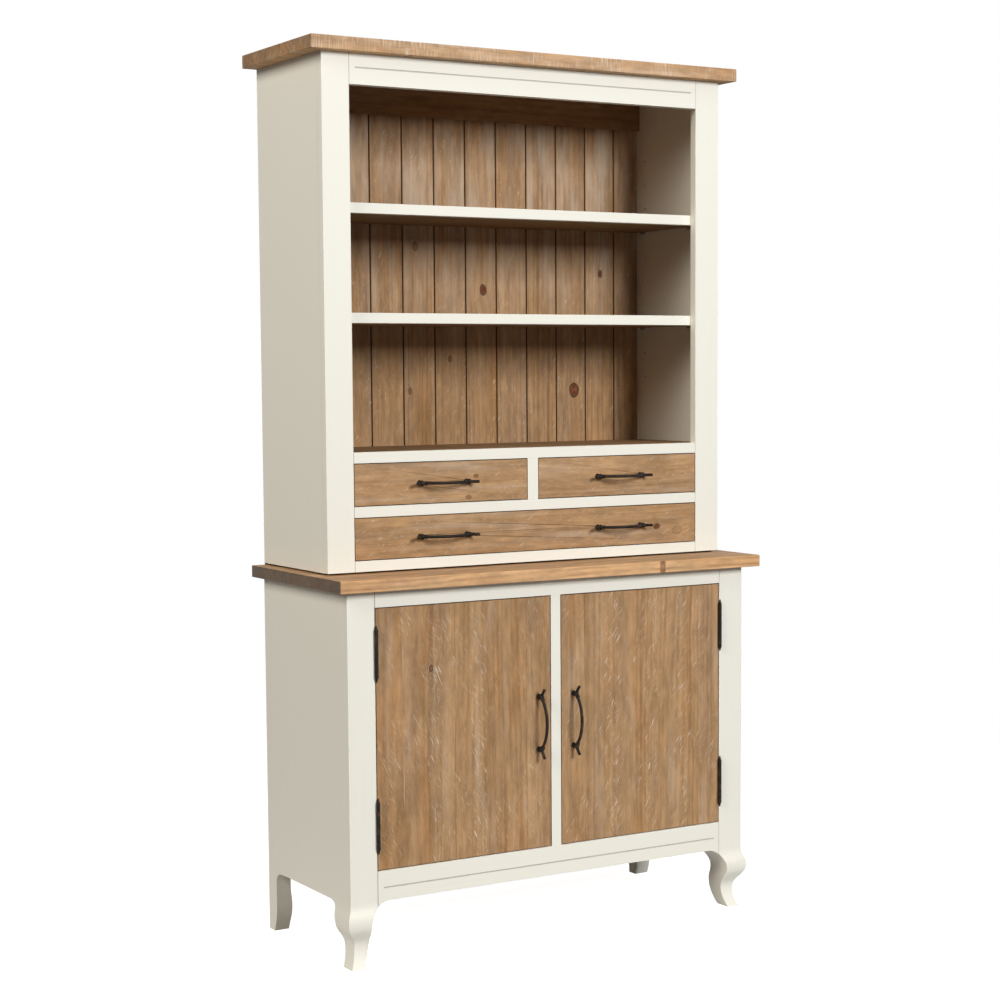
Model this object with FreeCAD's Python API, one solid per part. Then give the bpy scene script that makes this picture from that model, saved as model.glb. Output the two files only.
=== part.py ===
"""Buffet and hutch in painted and natural pine.

A cupboard with two inset plank doors stands on shaped legs and carries an open
shelf unit with two small drawers over one wide drawer.

Frame: +Z up, +X to the right seen from the front, the front faces -Y. The origin
is on the floor under the centre of the buffet's top board. Lengths in millimetres.
"""
import FreeCAD
import Part

import math
import os

# Buffet case
BUFFET_WIDTH = 1009.0           # over the outer faces of the posts
BUFFET_DEPTH = 408.0            # front of the posts to the back
BUFFET_HEIGHT = 818.0           # floor to the top surface
TOP_THICK = 26.0
TOP_SIDE_OVERHANG = 29.0
TOP_FRONT_OVERHANG = 30.0
TOP_EASE = 1.6                  # rounding along the edges of the top board
FRONT_POST_WIDTH = 63.5
FRONT_POST_DEPTH = 76.0
POST_EASE = 1.8                 # rounding along the free edges of posts and legs
BACK_POST_WIDTH = 35.0
BACK_POST_DEPTH = 41.5
FRAME_THICK = 20.0              # stiles, rails, mullion and drawer fronts
FRAME_EASE = 0.7                # rounding along the front edges of the face frame
BUFFET_TOP_RAIL = 36.0
BUFFET_BOTTOM_RAIL = 64.0
RAIL_CLEARANCE = 140.0          # floor to the underside of the bottom rail
RAIL_EAR_LENGTH = 30.0
MULLION_WIDTH = 24.6
SIDE_THICK = 20.0
SIDE_CLEARANCE = 135.5          # floor to the underside of the side panels
SIDE_FRONT_EAR_LENGTH = 19.0
SIDE_BACK_EAR_LENGTH = 34.0
SIDE_BACK_EAR_DROP = 25.0
FLOOR_THICK = 15.0
FLOOR_DROP = 5.0                # cabinet floor below the top of the bottom rail
BACK_PANEL_THICK = 6.0
BACK_PANEL_RECESS = 3.0
INNER_SHELF_THICK = 18.0
INNER_SHELF_HEIGHT = 262.0      # underside above the cabinet floor
INNER_SHELF_SETBACK = 12.0      # behind the front posts
DOOR_STOP_WIDTH = 76.0
DOOR_STOP_DEPTH = 14.0
DOOR_STOP_HEIGHT = 16.0
DOOR_STOP_DROP = 26.0           # below the top of the door opening

# Front legs: offsets from the outer and the inner face of the post
LEG_TOP = 129.0                 # height where the inner curve starts
KNEE_START = 139.0
KNEE_HEIGHT = 100.0
KNEE_OUT = 9.0
ANKLE_HEIGHT = 41.0
ANKLE_IN = 14.0
TOE_IN = 3.0
HOLLOW_HEIGHT = 91.0
HOLLOW_IN = 18.0
SHANK_HEIGHT = 60.0
SHANK_IN = 15.0
HEEL_IN = 30.0

# Back legs
BACK_LEG_BULGE = 3.5
BACK_LEG_BULGE_HEIGHT = 52.0
BACK_HEEL_IN = 13.0
BACK_HEEL_HEIGHT = 58.0

# Grooves cut along the face of two rails
GROOVE_WIDTH = 3.0
GROOVE_DEPTH = 1.4
GROOVE_MARGIN = 15.0            # from each end of the rail
BOTTOM_GROOVE_DROP = 36.0       # below the top of the buffet's bottom rail
TOP_GROOVE_DROP = 29.5          # below the top of the hutch's top rail

# Doors
DOOR_GAP = 2.0
DOOR_THICK = 19.5
DOOR_EASE = 1.0
INNER_BOARD_WIDTH = 61.0
MIDDLE_BOARD_WIDTH = 177.0
BATTEN_WIDTH = 60.0
BATTEN_THICK = 12.0
BATTEN_END_MARGIN = 36.0
BATTEN_EDGE_MARGIN = 34.0

# Butt hinges with tipped pins
HINGE_LENGTH = 100.0
HINGE_EDGE_DISTANCE = 94.0      # hinge centre from the door's top or bottom edge
KNUCKLE_COUNT = 5
KNUCKLE_RADIUS = 4.0
KNUCKLE_CLEARANCE = 0.3
PIN_RADIUS = 2.0
PIN_CLEARANCE = 0.05
PIN_TIP_RADIUS = 3.4
PIN_TIP_HEIGHT = 9.0
BARREL_STAND_OFF = 0.3          # barrel clear of the face of the post
LEAF_THICK = 1.6
LEAF_GAP = 0.4                  # between the two closed leaves
LEAF_WIDTH = 16.0               # let into the wood behind its face
LEAF_NOTCH_CLEARANCE = 0.4

# Wood screws of the hinges and the tie plates
SCREW_RADIUS = 1.7
SCREW_HEAD_RADIUS = 3.2
SCREW_HEAD_DEPTH = 1.5
SCREW_LENGTH = 16.0
SCREW_CLEARANCE = 0.05
HINGE_SCREW_SPACING = 34.0

# Bow pulls
PULL_SPACING = 115.0            # between the two feet
PULL_FOOT = 12.0                # middle of the bar above the wood, at the feet
PULL_BOW = 35.0                 # middle of the bar above the wood, at mid length
PULL_BAR_RADIUS = 3.4
PULL_POST_RADIUS = 4.2
PULL_ROSE_RADIUS = 6.2
PULL_ROSE_THICK = 2.0
PULL_KNOT_RADIUS = 6.0
PULL_ROOT = 2.8                 # bar, tail and post end this far from the middle of the knot
PULL_COLLAR_RADIUS = 5.0
PULL_COLLAR_LENGTH = 3.0
PULL_COLLAR_GAP = 0.8           # neck between the knot and the collar
PULL_TAIL_LENGTH = 21.0
PULL_TAIL_RADIUS = 2.9
PULL_TAIL_ANGLE = 36.0
PULL_SCREW_RADIUS = 2.0
PULL_SCREW_HEAD_RADIUS = 4.2
PULL_SCREW_HEAD_HEIGHT = 2.4
PULL_SCREW_REACH = 8.0          # into the foot of the pull
PULL_SCREW_CLEARANCE = 0.15

# Hutch case
HUTCH_WIDTH = 1005.0
HUTCH_HEIGHT = 1073.0           # underside of the stiles to the crown board
PAD_THICK = 4.0                 # holds the hutch off the top board
PAD_WIDTH = 16.0
PAD_LENGTH = 40.0
CROWN_THICK = 28.0
CROWN_SIDE_OVERHANG = 34.0
CROWN_FRONT_OVERHANG = 25.0
CROWN_EASE = 1.6
STILE_WIDTH = 63.0
HUTCH_SIDE_THICK = 20.0
HUTCH_TOP_RAIL = 64.0
DRAWER_RAIL = 23.0
DRAWER_OPENING = 91.0
DIVIDER_WIDTH = 27.0
DECK_THICK = 15.0
DUST_PANEL_THICK = 12.0
BOTTOM_PANEL_THICK = 15.0
PLANK_PITCH = 82.0
PLANK_THICK = 12.0
PLANK_CHAMFER = 2.4
PLANK_LAP = 5.0                 # planks let into the side panels
BACK_RECESS = 8.0
BACK_RAIL_HEIGHT = 83.0
BACK_RAIL_THICK = 12.0

# Shelves and their pins
SHELF_THICK = 21.6
SHELF_END_CLEARANCE = 1.0
LIPPING_DEPTH = 20.0
LOWER_SHELF_HEIGHT = 520.5      # underside above the underside of the hutch
SHELF_STEPS = 4                 # pin holes from the lower to the upper shelf
PIN_PITCH = 57.0
PIN_HOLES_BELOW = 2
PIN_HOLES_ABOVE = 7
SHELF_PIN_RADIUS = 3.0
SHELF_PIN_DEPTH = 10.0
SHELF_PIN_REACH = 12.0
SHELF_PIN_CLEARANCE = 0.1
SHELF_PIN_SETBACK = 54.0        # hole column from the front frame and from the back

# Drawers
DRAWER_GAP = 1.8
DRAWER_EASE = 0.8
BOX_SIDE_CLEARANCE = 1.5
BOX_LIFT = 0.3
BOX_HEADROOM = 12.0
BOX_LENGTH = 250.0              # sets how deep the hutch has to be
BOX_BACK_ROOM = 28.0            # behind the closed drawer boxes
BOX_THICK = 12.0
BOX_BOTTOM_THICK = 5.0
BOX_BOTTOM_RAISE = 8.0
BOX_BOTTOM_LAP = 5.0
GUIDE_HEIGHT = 25.0
GUIDE_CLEARANCE = 0.5

# Plates that tie the hutch to the buffet at the back
TIE_WIDTH = 13.0
TIE_THICK = 2.0
TIE_REACH = 70.0                # above and below the underside of the hutch
TIE_SCREW_SPACING = 26.0

# Levels and planes that follow from the sizes above
TOP_DEPTH = BUFFET_DEPTH + TOP_FRONT_OVERHANG
HUTCH_DEPTH = FRAME_THICK + BOX_LENGTH + BOX_BACK_ROOM + PLANK_THICK + BACK_RECESS
BACK_Y = TOP_DEPTH / 2
BUFFET_FRONT = BACK_Y - BUFFET_DEPTH
HUTCH_FRONT = BACK_Y - HUTCH_DEPTH
BUFFET_HALF = BUFFET_WIDTH / 2
HUTCH_HALF = HUTCH_WIDTH / 2
TOP_UNDERSIDE = BUFFET_HEIGHT - TOP_THICK
OPENING_HALF = BUFFET_HALF - FRONT_POST_WIDTH
OPENING_BOTTOM = RAIL_CLEARANCE + BUFFET_BOTTOM_RAIL
OPENING_TOP = TOP_UNDERSIDE - BUFFET_TOP_RAIL
BUFFET_FRAME_BACK = BUFFET_FRONT + FRAME_THICK
BUFFET_POST_BACK = BUFFET_FRONT + FRONT_POST_DEPTH
BACK_POST_FRONT = BACK_Y - BACK_POST_DEPTH
BUFFET_INNER_HALF = BUFFET_HALF - SIDE_THICK
BACK_PANEL_FRONT = BACK_Y - BACK_PANEL_RECESS - BACK_PANEL_THICK
CABINET_FLOOR = OPENING_BOTTOM - FLOOR_DROP
DOOR_BOTTOM = OPENING_BOTTOM + DOOR_GAP
DOOR_TOP = OPENING_TOP - DOOR_GAP
DOOR_OUTER_X = -OPENING_HALF + DOOR_GAP
DOOR_INNER_X = -MULLION_WIDTH / 2 - DOOR_GAP
DOOR_BACK = BUFFET_FRONT + DOOR_THICK
DOOR_PULL_X = DOOR_INNER_X - INNER_BOARD_WIDTH / 2
DOOR_PULL_Z = (DOOR_BOTTOM + DOOR_TOP) / 2
HINGE_X = -OPENING_HALF + DOOR_GAP / 2
HINGE_Y = BUFFET_FRONT - KNUCKLE_RADIUS - BARREL_STAND_OFF

HUTCH_BOTTOM = BUFFET_HEIGHT + PAD_THICK
HUTCH_TOP = HUTCH_BOTTOM + HUTCH_HEIGHT
HUTCH_FRAME_BACK = HUTCH_FRONT + FRAME_THICK
HUTCH_OPENING_HALF = HUTCH_HALF - STILE_WIDTH
HUTCH_INNER_HALF = HUTCH_HALF - HUTCH_SIDE_THICK
PLANK_FRONT = BACK_Y - BACK_RECESS - PLANK_THICK
WIDE_BOTTOM = HUTCH_BOTTOM + DRAWER_RAIL
WIDE_TOP = WIDE_BOTTOM + DRAWER_OPENING
SMALL_BOTTOM = WIDE_TOP + DRAWER_RAIL
SMALL_TOP = SMALL_BOTTOM + DRAWER_OPENING
DECK_TOP = SMALL_TOP + DRAWER_RAIL
LOWER_SHELF_BOTTOM = HUTCH_BOTTOM + LOWER_SHELF_HEIGHT
UPPER_SHELF_BOTTOM = LOWER_SHELF_BOTTOM + SHELF_STEPS * PIN_PITCH
SMALL_DRAWER_X = (HUTCH_OPENING_HALF + DIVIDER_WIDTH / 2) / 2

LEFT = -1
RIGHT = 1
AXIS_X = FreeCAD.Vector(1, 0, 0)
AXIS_Y = FreeCAD.Vector(0, 1, 0)
AXIS_Z = FreeCAD.Vector(0, 0, 1)
ORIGIN = FreeCAD.Vector(0, 0, 0)
ON_PLANE = 0.01                 # tolerance for picking edges on a plane
UPRIGHT_LENGTH = 5.0            # an edge that climbs more than this runs along a post


# Shape helpers
def box(x0, x1, y0, y1, z0, z1):
    return Part.makeBox(x1 - x0, y1 - y0, z1 - z0, FreeCAD.Vector(x0, y0, z0))


def cylinder(radius, start, along, length):
    return Part.makeCylinder(radius, length, FreeCAD.Vector(*start), along)


def mirrored(shape):
    """The same piece on the other side of the middle plane."""
    return shape.mirror(ORIGIN, AXIS_X)


def on_side(shape, side):
    """A piece drawn for the left side, put on the side that is asked for."""
    return shape if side == LEFT else mirrored(shape)


def cut_all(shape, cutters):
    for cutter in cutters:
        shape = shape.cut(cutter)
    return shape


def ease_front(shape, radius, front):
    """Round the edges that lie in the front face."""
    edges = [edge for edge in shape.Edges if edge.BoundBox.YMax < front + ON_PLANE]
    return shape.makeFillet(radius, edges)


def ease_all(shape, radius):
    return shape.makeFillet(radius, shape.Edges)


def in_xz(x, z):
    return FreeCAD.Vector(x, 0, z)


def in_yz(y, z):
    return FreeCAD.Vector(0, y, z)


def outline_face(place, *stretches):
    """A face from stretches of poles: two poles make a line, more make a curve."""
    edges = []
    for poles in stretches:
        points = [place(*pole) for pole in poles]
        if len(points) == 2:
            edges.append(Part.makeLine(*points))
        else:
            curve = Part.BezierCurve()
            curve.setPoles(points)
            edges.append(curve.toShape())
    return Part.Face(Part.Wire(edges))


def between_y(face, y0, y1):
    face.translate(AXIS_Y * y0)
    return face.extrude(AXIS_Y * (y1 - y0))


def between_x(face, x0, x1):
    face.translate(AXIS_X * x0)
    return face.extrude(AXIS_X * (x1 - x0))


def s_curve(start, end):
    """Four poles that leave and arrive upright, from one (offset, height) to another."""
    middle = (start[1] + end[1]) / 2
    return (start, (start[0], middle), (end[0], middle), end)


def save(name, *solids):
    shape = solids[0] if len(solids) == 1 else Part.makeCompound(list(solids))
    shape.exportStep("parts/" + name + ".step")


# Buffet posts and legs
def upright_edges(shape):
    return [edge for edge in shape.Edges if edge.BoundBox.ZLength > UPRIGHT_LENGTH]


def front_leg_face(place, outer, inwards, width):
    """Outline of a front post and leg. Offsets run inwards from the outer face."""
    def at(offset, height):
        return (outer + inwards * offset, height)

    knee = at(-KNEE_OUT, KNEE_HEIGHT)
    ankle = at(ANKLE_IN, ANKLE_HEIGHT)
    toe = at(TOE_IN, 0)
    heel = at(width - HEEL_IN, 0)
    shank = at(width - SHANK_IN, SHANK_HEIGHT)
    hollow = at(width - HOLLOW_IN, HOLLOW_HEIGHT)
    inner_start = at(width, LEG_TOP)
    inner_top = at(width, TOP_UNDERSIDE)
    outer_top = at(0, TOP_UNDERSIDE)
    outer_start = at(0, KNEE_START)
    return outline_face(
        place,
        (outer_top, outer_start),
        s_curve(outer_start, knee),
        s_curve(knee, ankle),
        (ankle, at(ANKLE_IN, ANKLE_HEIGHT / 2), toe),
        (toe, heel),
        (heel, at(width - SHANK_IN, SHANK_HEIGHT / 2), shank),
        s_curve(shank, hollow),
        (hollow, at(width - HOLLOW_IN, (HOLLOW_HEIGHT + LEG_TOP) / 2), inner_start),
        (inner_start, inner_top),
        (inner_top, outer_top),
    )


def front_left_post():
    seen_from_front = between_y(
        front_leg_face(in_xz, -BUFFET_HALF, 1, FRONT_POST_WIDTH),
        BUFFET_FRONT - KNEE_OUT, BUFFET_POST_BACK)
    seen_from_side = between_x(
        front_leg_face(in_yz, BUFFET_FRONT, 1, FRONT_POST_DEPTH),
        -BUFFET_HALF - KNEE_OUT, -OPENING_HALF)
    post = seen_from_front.common(seen_from_side)
    free_edges = [edge for edge in upright_edges(post) if edge.BoundBox.YMin < BUFFET_POST_BACK - ON_PLANE]
    return post.makeFillet(POST_EASE, free_edges)


def back_left_post():
    inner = -BUFFET_HALF + BACK_POST_WIDTH
    bulge = (inner + BACK_LEG_BULGE, BACK_LEG_BULGE_HEIGHT)
    bulge_start = (inner, 2 * BACK_LEG_BULGE_HEIGHT)
    seen_from_front = outline_face(
        in_xz,
        ((-BUFFET_HALF, TOP_UNDERSIDE), (-BUFFET_HALF, 0)),
        ((-BUFFET_HALF, 0), (inner, 0)),
        s_curve((inner, 0), bulge),
        s_curve(bulge, bulge_start),
        (bulge_start, (inner, TOP_UNDERSIDE)),
        ((inner, TOP_UNDERSIDE), (-BUFFET_HALF, TOP_UNDERSIDE)),
    )
    heel_start = (BACK_POST_FRONT, BACK_HEEL_HEIGHT)
    heel = (BACK_POST_FRONT + BACK_HEEL_IN, 0)
    seen_from_side = outline_face(
        in_yz,
        ((BACK_Y, TOP_UNDERSIDE), (BACK_Y, 0)),
        ((BACK_Y, 0), heel),
        (heel, (BACK_POST_FRONT, BACK_HEEL_HEIGHT / 2), heel_start),
        (heel_start, (BACK_POST_FRONT, TOP_UNDERSIDE)),
        ((BACK_POST_FRONT, TOP_UNDERSIDE), (BACK_Y, TOP_UNDERSIDE)),
    )
    front_prism = between_y(seen_from_front, BACK_POST_FRONT, BACK_Y)
    side_prism = between_x(seen_from_side, -BUFFET_HALF, inner + BACK_LEG_BULGE)
    post = front_prism.common(side_prism)
    free_edges = [edge for edge in upright_edges(post) if edge.BoundBox.YMin > BACK_POST_FRONT + ON_PLANE]
    return post.makeFillet(POST_EASE, free_edges)


# Buffet panels and frame
def buffet_left_side_panel():
    front_ear = (BUFFET_POST_BACK, LEG_TOP)
    front_flat = (BUFFET_POST_BACK + SIDE_FRONT_EAR_LENGTH, SIDE_CLEARANCE)
    back_flat = (BACK_POST_FRONT - SIDE_BACK_EAR_LENGTH, SIDE_CLEARANCE)
    back_ear = (BACK_POST_FRONT, SIDE_CLEARANCE - SIDE_BACK_EAR_DROP)
    top_back = (BACK_POST_FRONT, TOP_UNDERSIDE)
    top_front = (BUFFET_POST_BACK, TOP_UNDERSIDE)
    face = outline_face(
        in_yz,
        (front_ear, (BUFFET_POST_BACK + SIDE_FRONT_EAR_LENGTH / 2, SIDE_CLEARANCE), front_flat),
        (front_flat, back_flat),
        (back_flat, (BACK_POST_FRONT, SIDE_CLEARANCE), back_ear),
        (back_ear, top_back),
        (top_back, top_front),
        (top_front, front_ear),
    )
    panel = between_x(face, -BUFFET_HALF, -BUFFET_INNER_HALF)
    holes = [shelf_pin_hole(y, inner_shelf_pin_height(), BUFFET_INNER_HALF) for y in inner_shelf_pin_rows()]
    return cut_all(panel, holes)


def stopped_groove(half_length, face_y, z):
    """Cutter for a shallow groove with round ends along the face of a rail."""
    radius = GROOVE_WIDTH / 2
    groove = box(-half_length, half_length, face_y, face_y + GROOVE_DEPTH, z - radius, z + radius)
    ends = [cylinder(radius, (x, face_y, z), AXIS_Y, GROOVE_DEPTH) for x in (-half_length, half_length)]
    return groove.multiFuse(ends)


def buffet_bottom_rail():
    left_ear = (-OPENING_HALF, LEG_TOP)
    left_flat = (-OPENING_HALF + RAIL_EAR_LENGTH, RAIL_CLEARANCE)
    right_flat = (OPENING_HALF - RAIL_EAR_LENGTH, RAIL_CLEARANCE)
    right_ear = (OPENING_HALF, LEG_TOP)
    top_right = (OPENING_HALF, OPENING_BOTTOM)
    top_left = (-OPENING_HALF, OPENING_BOTTOM)
    face = outline_face(
        in_xz,
        (left_ear, (-OPENING_HALF + RAIL_EAR_LENGTH / 2, RAIL_CLEARANCE), left_flat),
        (left_flat, right_flat),
        (right_flat, (OPENING_HALF - RAIL_EAR_LENGTH / 2, RAIL_CLEARANCE), right_ear),
        (right_ear, top_right),
        (top_right, top_left),
        (top_left, left_ear),
    )
    rail = between_y(face, BUFFET_FRONT, BUFFET_FRAME_BACK)
    rail = ease_front(rail, FRAME_EASE, BUFFET_FRONT)
    groove_z = OPENING_BOTTOM - BOTTOM_GROOVE_DROP
    return rail.cut(stopped_groove(OPENING_HALF - GROOVE_MARGIN, BUFFET_FRONT, groove_z))


def buffet_floor_panel():
    panel = box(-BUFFET_INNER_HALF, BUFFET_INNER_HALF, BUFFET_FRAME_BACK, BACK_PANEL_FRONT,
                CABINET_FLOOR - FLOOR_THICK, CABINET_FLOOR)
    return cut_all(panel, post_notches())


def post_notches():
    """The four square post sections, as cutters for panels between them."""
    inner_back = BUFFET_HALF - BACK_POST_WIDTH
    notches = []
    for side in (LEFT, RIGHT):
        front = box(-BUFFET_HALF, -OPENING_HALF, BUFFET_FRONT, BUFFET_POST_BACK, 0, TOP_UNDERSIDE)
        back = box(-BUFFET_HALF, -inner_back, BACK_POST_FRONT, BACK_Y, 0, TOP_UNDERSIDE)
        notches.append(on_side(front, side))
        notches.append(on_side(back, side))
    return notches


def inner_shelf_pin_rows():
    return (BUFFET_POST_BACK + SHELF_PIN_SETBACK, BACK_POST_FRONT - SHELF_PIN_SETBACK)


def inner_shelf_pin_height():
    return CABINET_FLOOR + INNER_SHELF_HEIGHT - SHELF_PIN_RADIUS - SHELF_PIN_CLEARANCE


def buffet_inner_shelf():
    half = BUFFET_INNER_HALF - SHELF_END_CLEARANCE
    bottom = CABINET_FLOOR + INNER_SHELF_HEIGHT
    return box(-half, half, BUFFET_POST_BACK + INNER_SHELF_SETBACK, BACK_POST_FRONT - SHELF_END_CLEARANCE,
               bottom, bottom + INNER_SHELF_THICK)


def buffet_back_panel():
    half = BUFFET_HALF - BACK_POST_WIDTH
    return box(-half, half, BACK_PANEL_FRONT, BACK_Y - BACK_PANEL_RECESS,
               CABINET_FLOOR - FLOOR_THICK, TOP_UNDERSIDE)


def frame_board(x0, x1, z0, z1, front):
    """A board of the face frame with its front edges eased."""
    return ease_front(box(x0, x1, front, front + FRAME_THICK, z0, z1), FRAME_EASE, front)


def make_buffet():
    top = box(-BUFFET_HALF - TOP_SIDE_OVERHANG, BUFFET_HALF + TOP_SIDE_OVERHANG,
              BUFFET_FRONT - TOP_FRONT_OVERHANG, BACK_Y, TOP_UNDERSIDE, BUFFET_HEIGHT)
    tie_holes = tie_screw_set(SCREW_CLEARANCE)
    both_sides = tie_holes + [mirrored(hole) for hole in tie_holes]
    save("buffet_top_board", cut_all(ease_all(top, TOP_EASE), both_sides))

    front_post = cut_all(front_left_post(), [hinge.frame_cutter for hinge in left_hinges()])
    save("buffet_front_left_post", front_post)
    save("buffet_front_right_post", mirrored(front_post))
    back_post = cut_all(back_left_post(), tie_holes)
    save("buffet_back_left_post", back_post)
    save("buffet_back_right_post", mirrored(back_post))

    side_panel = buffet_left_side_panel()
    save("buffet_left_side_panel", side_panel)
    save("buffet_right_side_panel", mirrored(side_panel))
    save("buffet_top_rail",
         frame_board(-OPENING_HALF, OPENING_HALF, OPENING_TOP, TOP_UNDERSIDE, BUFFET_FRONT))
    save("buffet_bottom_rail", buffet_bottom_rail())
    mullion_half = MULLION_WIDTH / 2
    save("buffet_center_mullion",
         frame_board(-mullion_half, mullion_half, OPENING_BOTTOM, OPENING_TOP, BUFFET_FRONT))
    stop_top = OPENING_TOP - DOOR_STOP_DROP
    save("door_stop", box(-DOOR_STOP_WIDTH / 2, DOOR_STOP_WIDTH / 2,
                          BUFFET_FRAME_BACK, BUFFET_FRAME_BACK + DOOR_STOP_DEPTH,
                          stop_top - DOOR_STOP_HEIGHT, stop_top))
    save("buffet_floor_panel", buffet_floor_panel())
    save("buffet_back_panel", buffet_back_panel())
    save("buffet_inner_shelf", buffet_inner_shelf())


# Screws, hinges and tie plates
def wood_screw(head_centre, along, clearance=0.0):
    """A countersunk screw; with a clearance it is the cutter for its hole."""
    start = FreeCAD.Vector(*head_centre)
    radius = SCREW_RADIUS + clearance
    head = Part.makeCone(SCREW_HEAD_RADIUS + clearance, radius, SCREW_HEAD_DEPTH, start, along)
    shank = Part.makeCylinder(radius, SCREW_LENGTH + clearance, start, along)
    return head.fuse(shank)


class Hinge:
    """A butt hinge on the left door, its frame half drawn in place and its door half opposite."""

    def __init__(self, centre_z):
        self.low = centre_z - HINGE_LENGTH / 2
        self.high = centre_z + HINGE_LENGTH / 2
        self.leaf_back = BUFFET_FRONT + LEAF_WIDTH
        self.leaf_front = HINGE_Y + KNUCKLE_RADIUS + LEAF_NOTCH_CLEARANCE
        self.face = LEAF_GAP / 2
        frame_screws = [self.leaf_screw(z) for z in self.screw_heights(centre_z)]
        holes = [self.leaf_screw(z, SCREW_CLEARANCE) for z in self.screw_heights(centre_z)]
        pocket = self.leaf_plate(BUFFET_FRONT, self.leaf_back)
        frame_leaf = cut_all(self.leaf(0), holes)
        door_leaf = cut_all(self.leaf(1), holes)
        self.frame_leaf = frame_leaf
        self.door_leaf = self.opposite(door_leaf)
        self.frame_screws = frame_screws
        self.door_screws = [self.opposite(screw) for screw in frame_screws]
        self.frame_cutter = pocket.multiFuse(holes)
        self.door_cutter = self.opposite(self.frame_cutter)

    def opposite(self, shape):
        return shape.mirror(FreeCAD.Vector(HINGE_X, 0, 0), AXIS_X)

    def screw_heights(self, centre_z):
        return [centre_z + step * HINGE_SCREW_SPACING for step in (-1, 0, 1)]

    def leaf_screw(self, z, clearance=0.0):
        middle = (BUFFET_FRONT + self.leaf_back) / 2
        return wood_screw((HINGE_X - self.face, middle, z), -AXIS_X, clearance)

    def leaf_plate(self, y0, y1):
        return box(HINGE_X - self.face - LEAF_THICK, HINGE_X - self.face, y0, y1, self.low, self.high)

    def leaf(self, first):
        """One leaf with every second knuckle, starting from the first that is asked for."""
        pitch = HINGE_LENGTH / KNUCKLE_COUNT
        leaf = self.leaf_plate(self.leaf_front, self.leaf_back)
        for index in range(first, KNUCKLE_COUNT, 2):
            low = self.low + index * pitch + KNUCKLE_CLEARANCE / 2
            height = pitch - KNUCKLE_CLEARANCE
            knuckle = cylinder(KNUCKLE_RADIUS, (HINGE_X, HINGE_Y, low), AXIS_Z, height)
            tab = box(HINGE_X - self.face - LEAF_THICK, HINGE_X - self.face, HINGE_Y, self.leaf_back,
                      low, low + height)
            leaf = leaf.multiFuse([knuckle, tab])
        bore = cylinder(PIN_RADIUS + PIN_CLEARANCE, (HINGE_X, HINGE_Y, self.low), AXIS_Z, HINGE_LENGTH)
        return leaf.cut(bore).removeSplitter()

    def pin(self):
        low = self.low + KNUCKLE_CLEARANCE / 2
        high = self.high - KNUCKLE_CLEARANCE / 2
        shank = cylinder(PIN_RADIUS, (HINGE_X, HINGE_Y, low), AXIS_Z, high - low)
        top_tip = Part.makeCone(PIN_TIP_RADIUS, PIN_RADIUS / 2, PIN_TIP_HEIGHT,
                                FreeCAD.Vector(HINGE_X, HINGE_Y, high), AXIS_Z)
        bottom_tip = Part.makeCone(PIN_TIP_RADIUS, PIN_RADIUS / 2, PIN_TIP_HEIGHT,
                                   FreeCAD.Vector(HINGE_X, HINGE_Y, low), -AXIS_Z)
        return shank.multiFuse([top_tip, bottom_tip])


def left_hinges():
    return [Hinge(DOOR_BOTTOM + HINGE_EDGE_DISTANCE), Hinge(DOOR_TOP - HINGE_EDGE_DISTANCE)]


def tie_plate_x():
    """Middle of the side panel's back edge beside the plank rebate, on the left."""
    return -HUTCH_HALF + (HUTCH_SIDE_THICK - PLANK_LAP) / 2


def tie_screw_set(clearance=0.0):
    """Screws of the left tie plate, above and below the underside of the hutch."""
    heights = []
    for step in (1, 2):
        heights.append(HUTCH_BOTTOM + step * TIE_SCREW_SPACING)
        heights.append(HUTCH_BOTTOM - step * TIE_SCREW_SPACING)
    return [wood_screw((tie_plate_x(), BACK_Y + TIE_THICK, z), -AXIS_Y, clearance) for z in heights]


def left_tie_plate():
    x = tie_plate_x()
    plate = box(x - TIE_WIDTH / 2, x + TIE_WIDTH / 2, BACK_Y, BACK_Y + TIE_THICK,
                HUTCH_BOTTOM - TIE_REACH, HUTCH_BOTTOM + TIE_REACH)
    return cut_all(plate, tie_screw_set(SCREW_CLEARANCE))


def make_carcass_fittings():
    hinges = left_hinges()
    leaves = [hinge.frame_leaf for hinge in hinges]
    pins = [hinge.pin() for hinge in hinges]
    screws = [screw for hinge in hinges for screw in hinge.frame_screws] + tie_screw_set()
    plate = left_tie_plate()
    save("hinge_frame_leaves", *leaves, *[mirrored(leaf) for leaf in leaves])
    save("hinge_pins", *pins, *[mirrored(pin) for pin in pins])
    save("carcass_screws", *screws, *[mirrored(screw) for screw in screws])
    save("tie_plates", plate, mirrored(plate))


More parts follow.
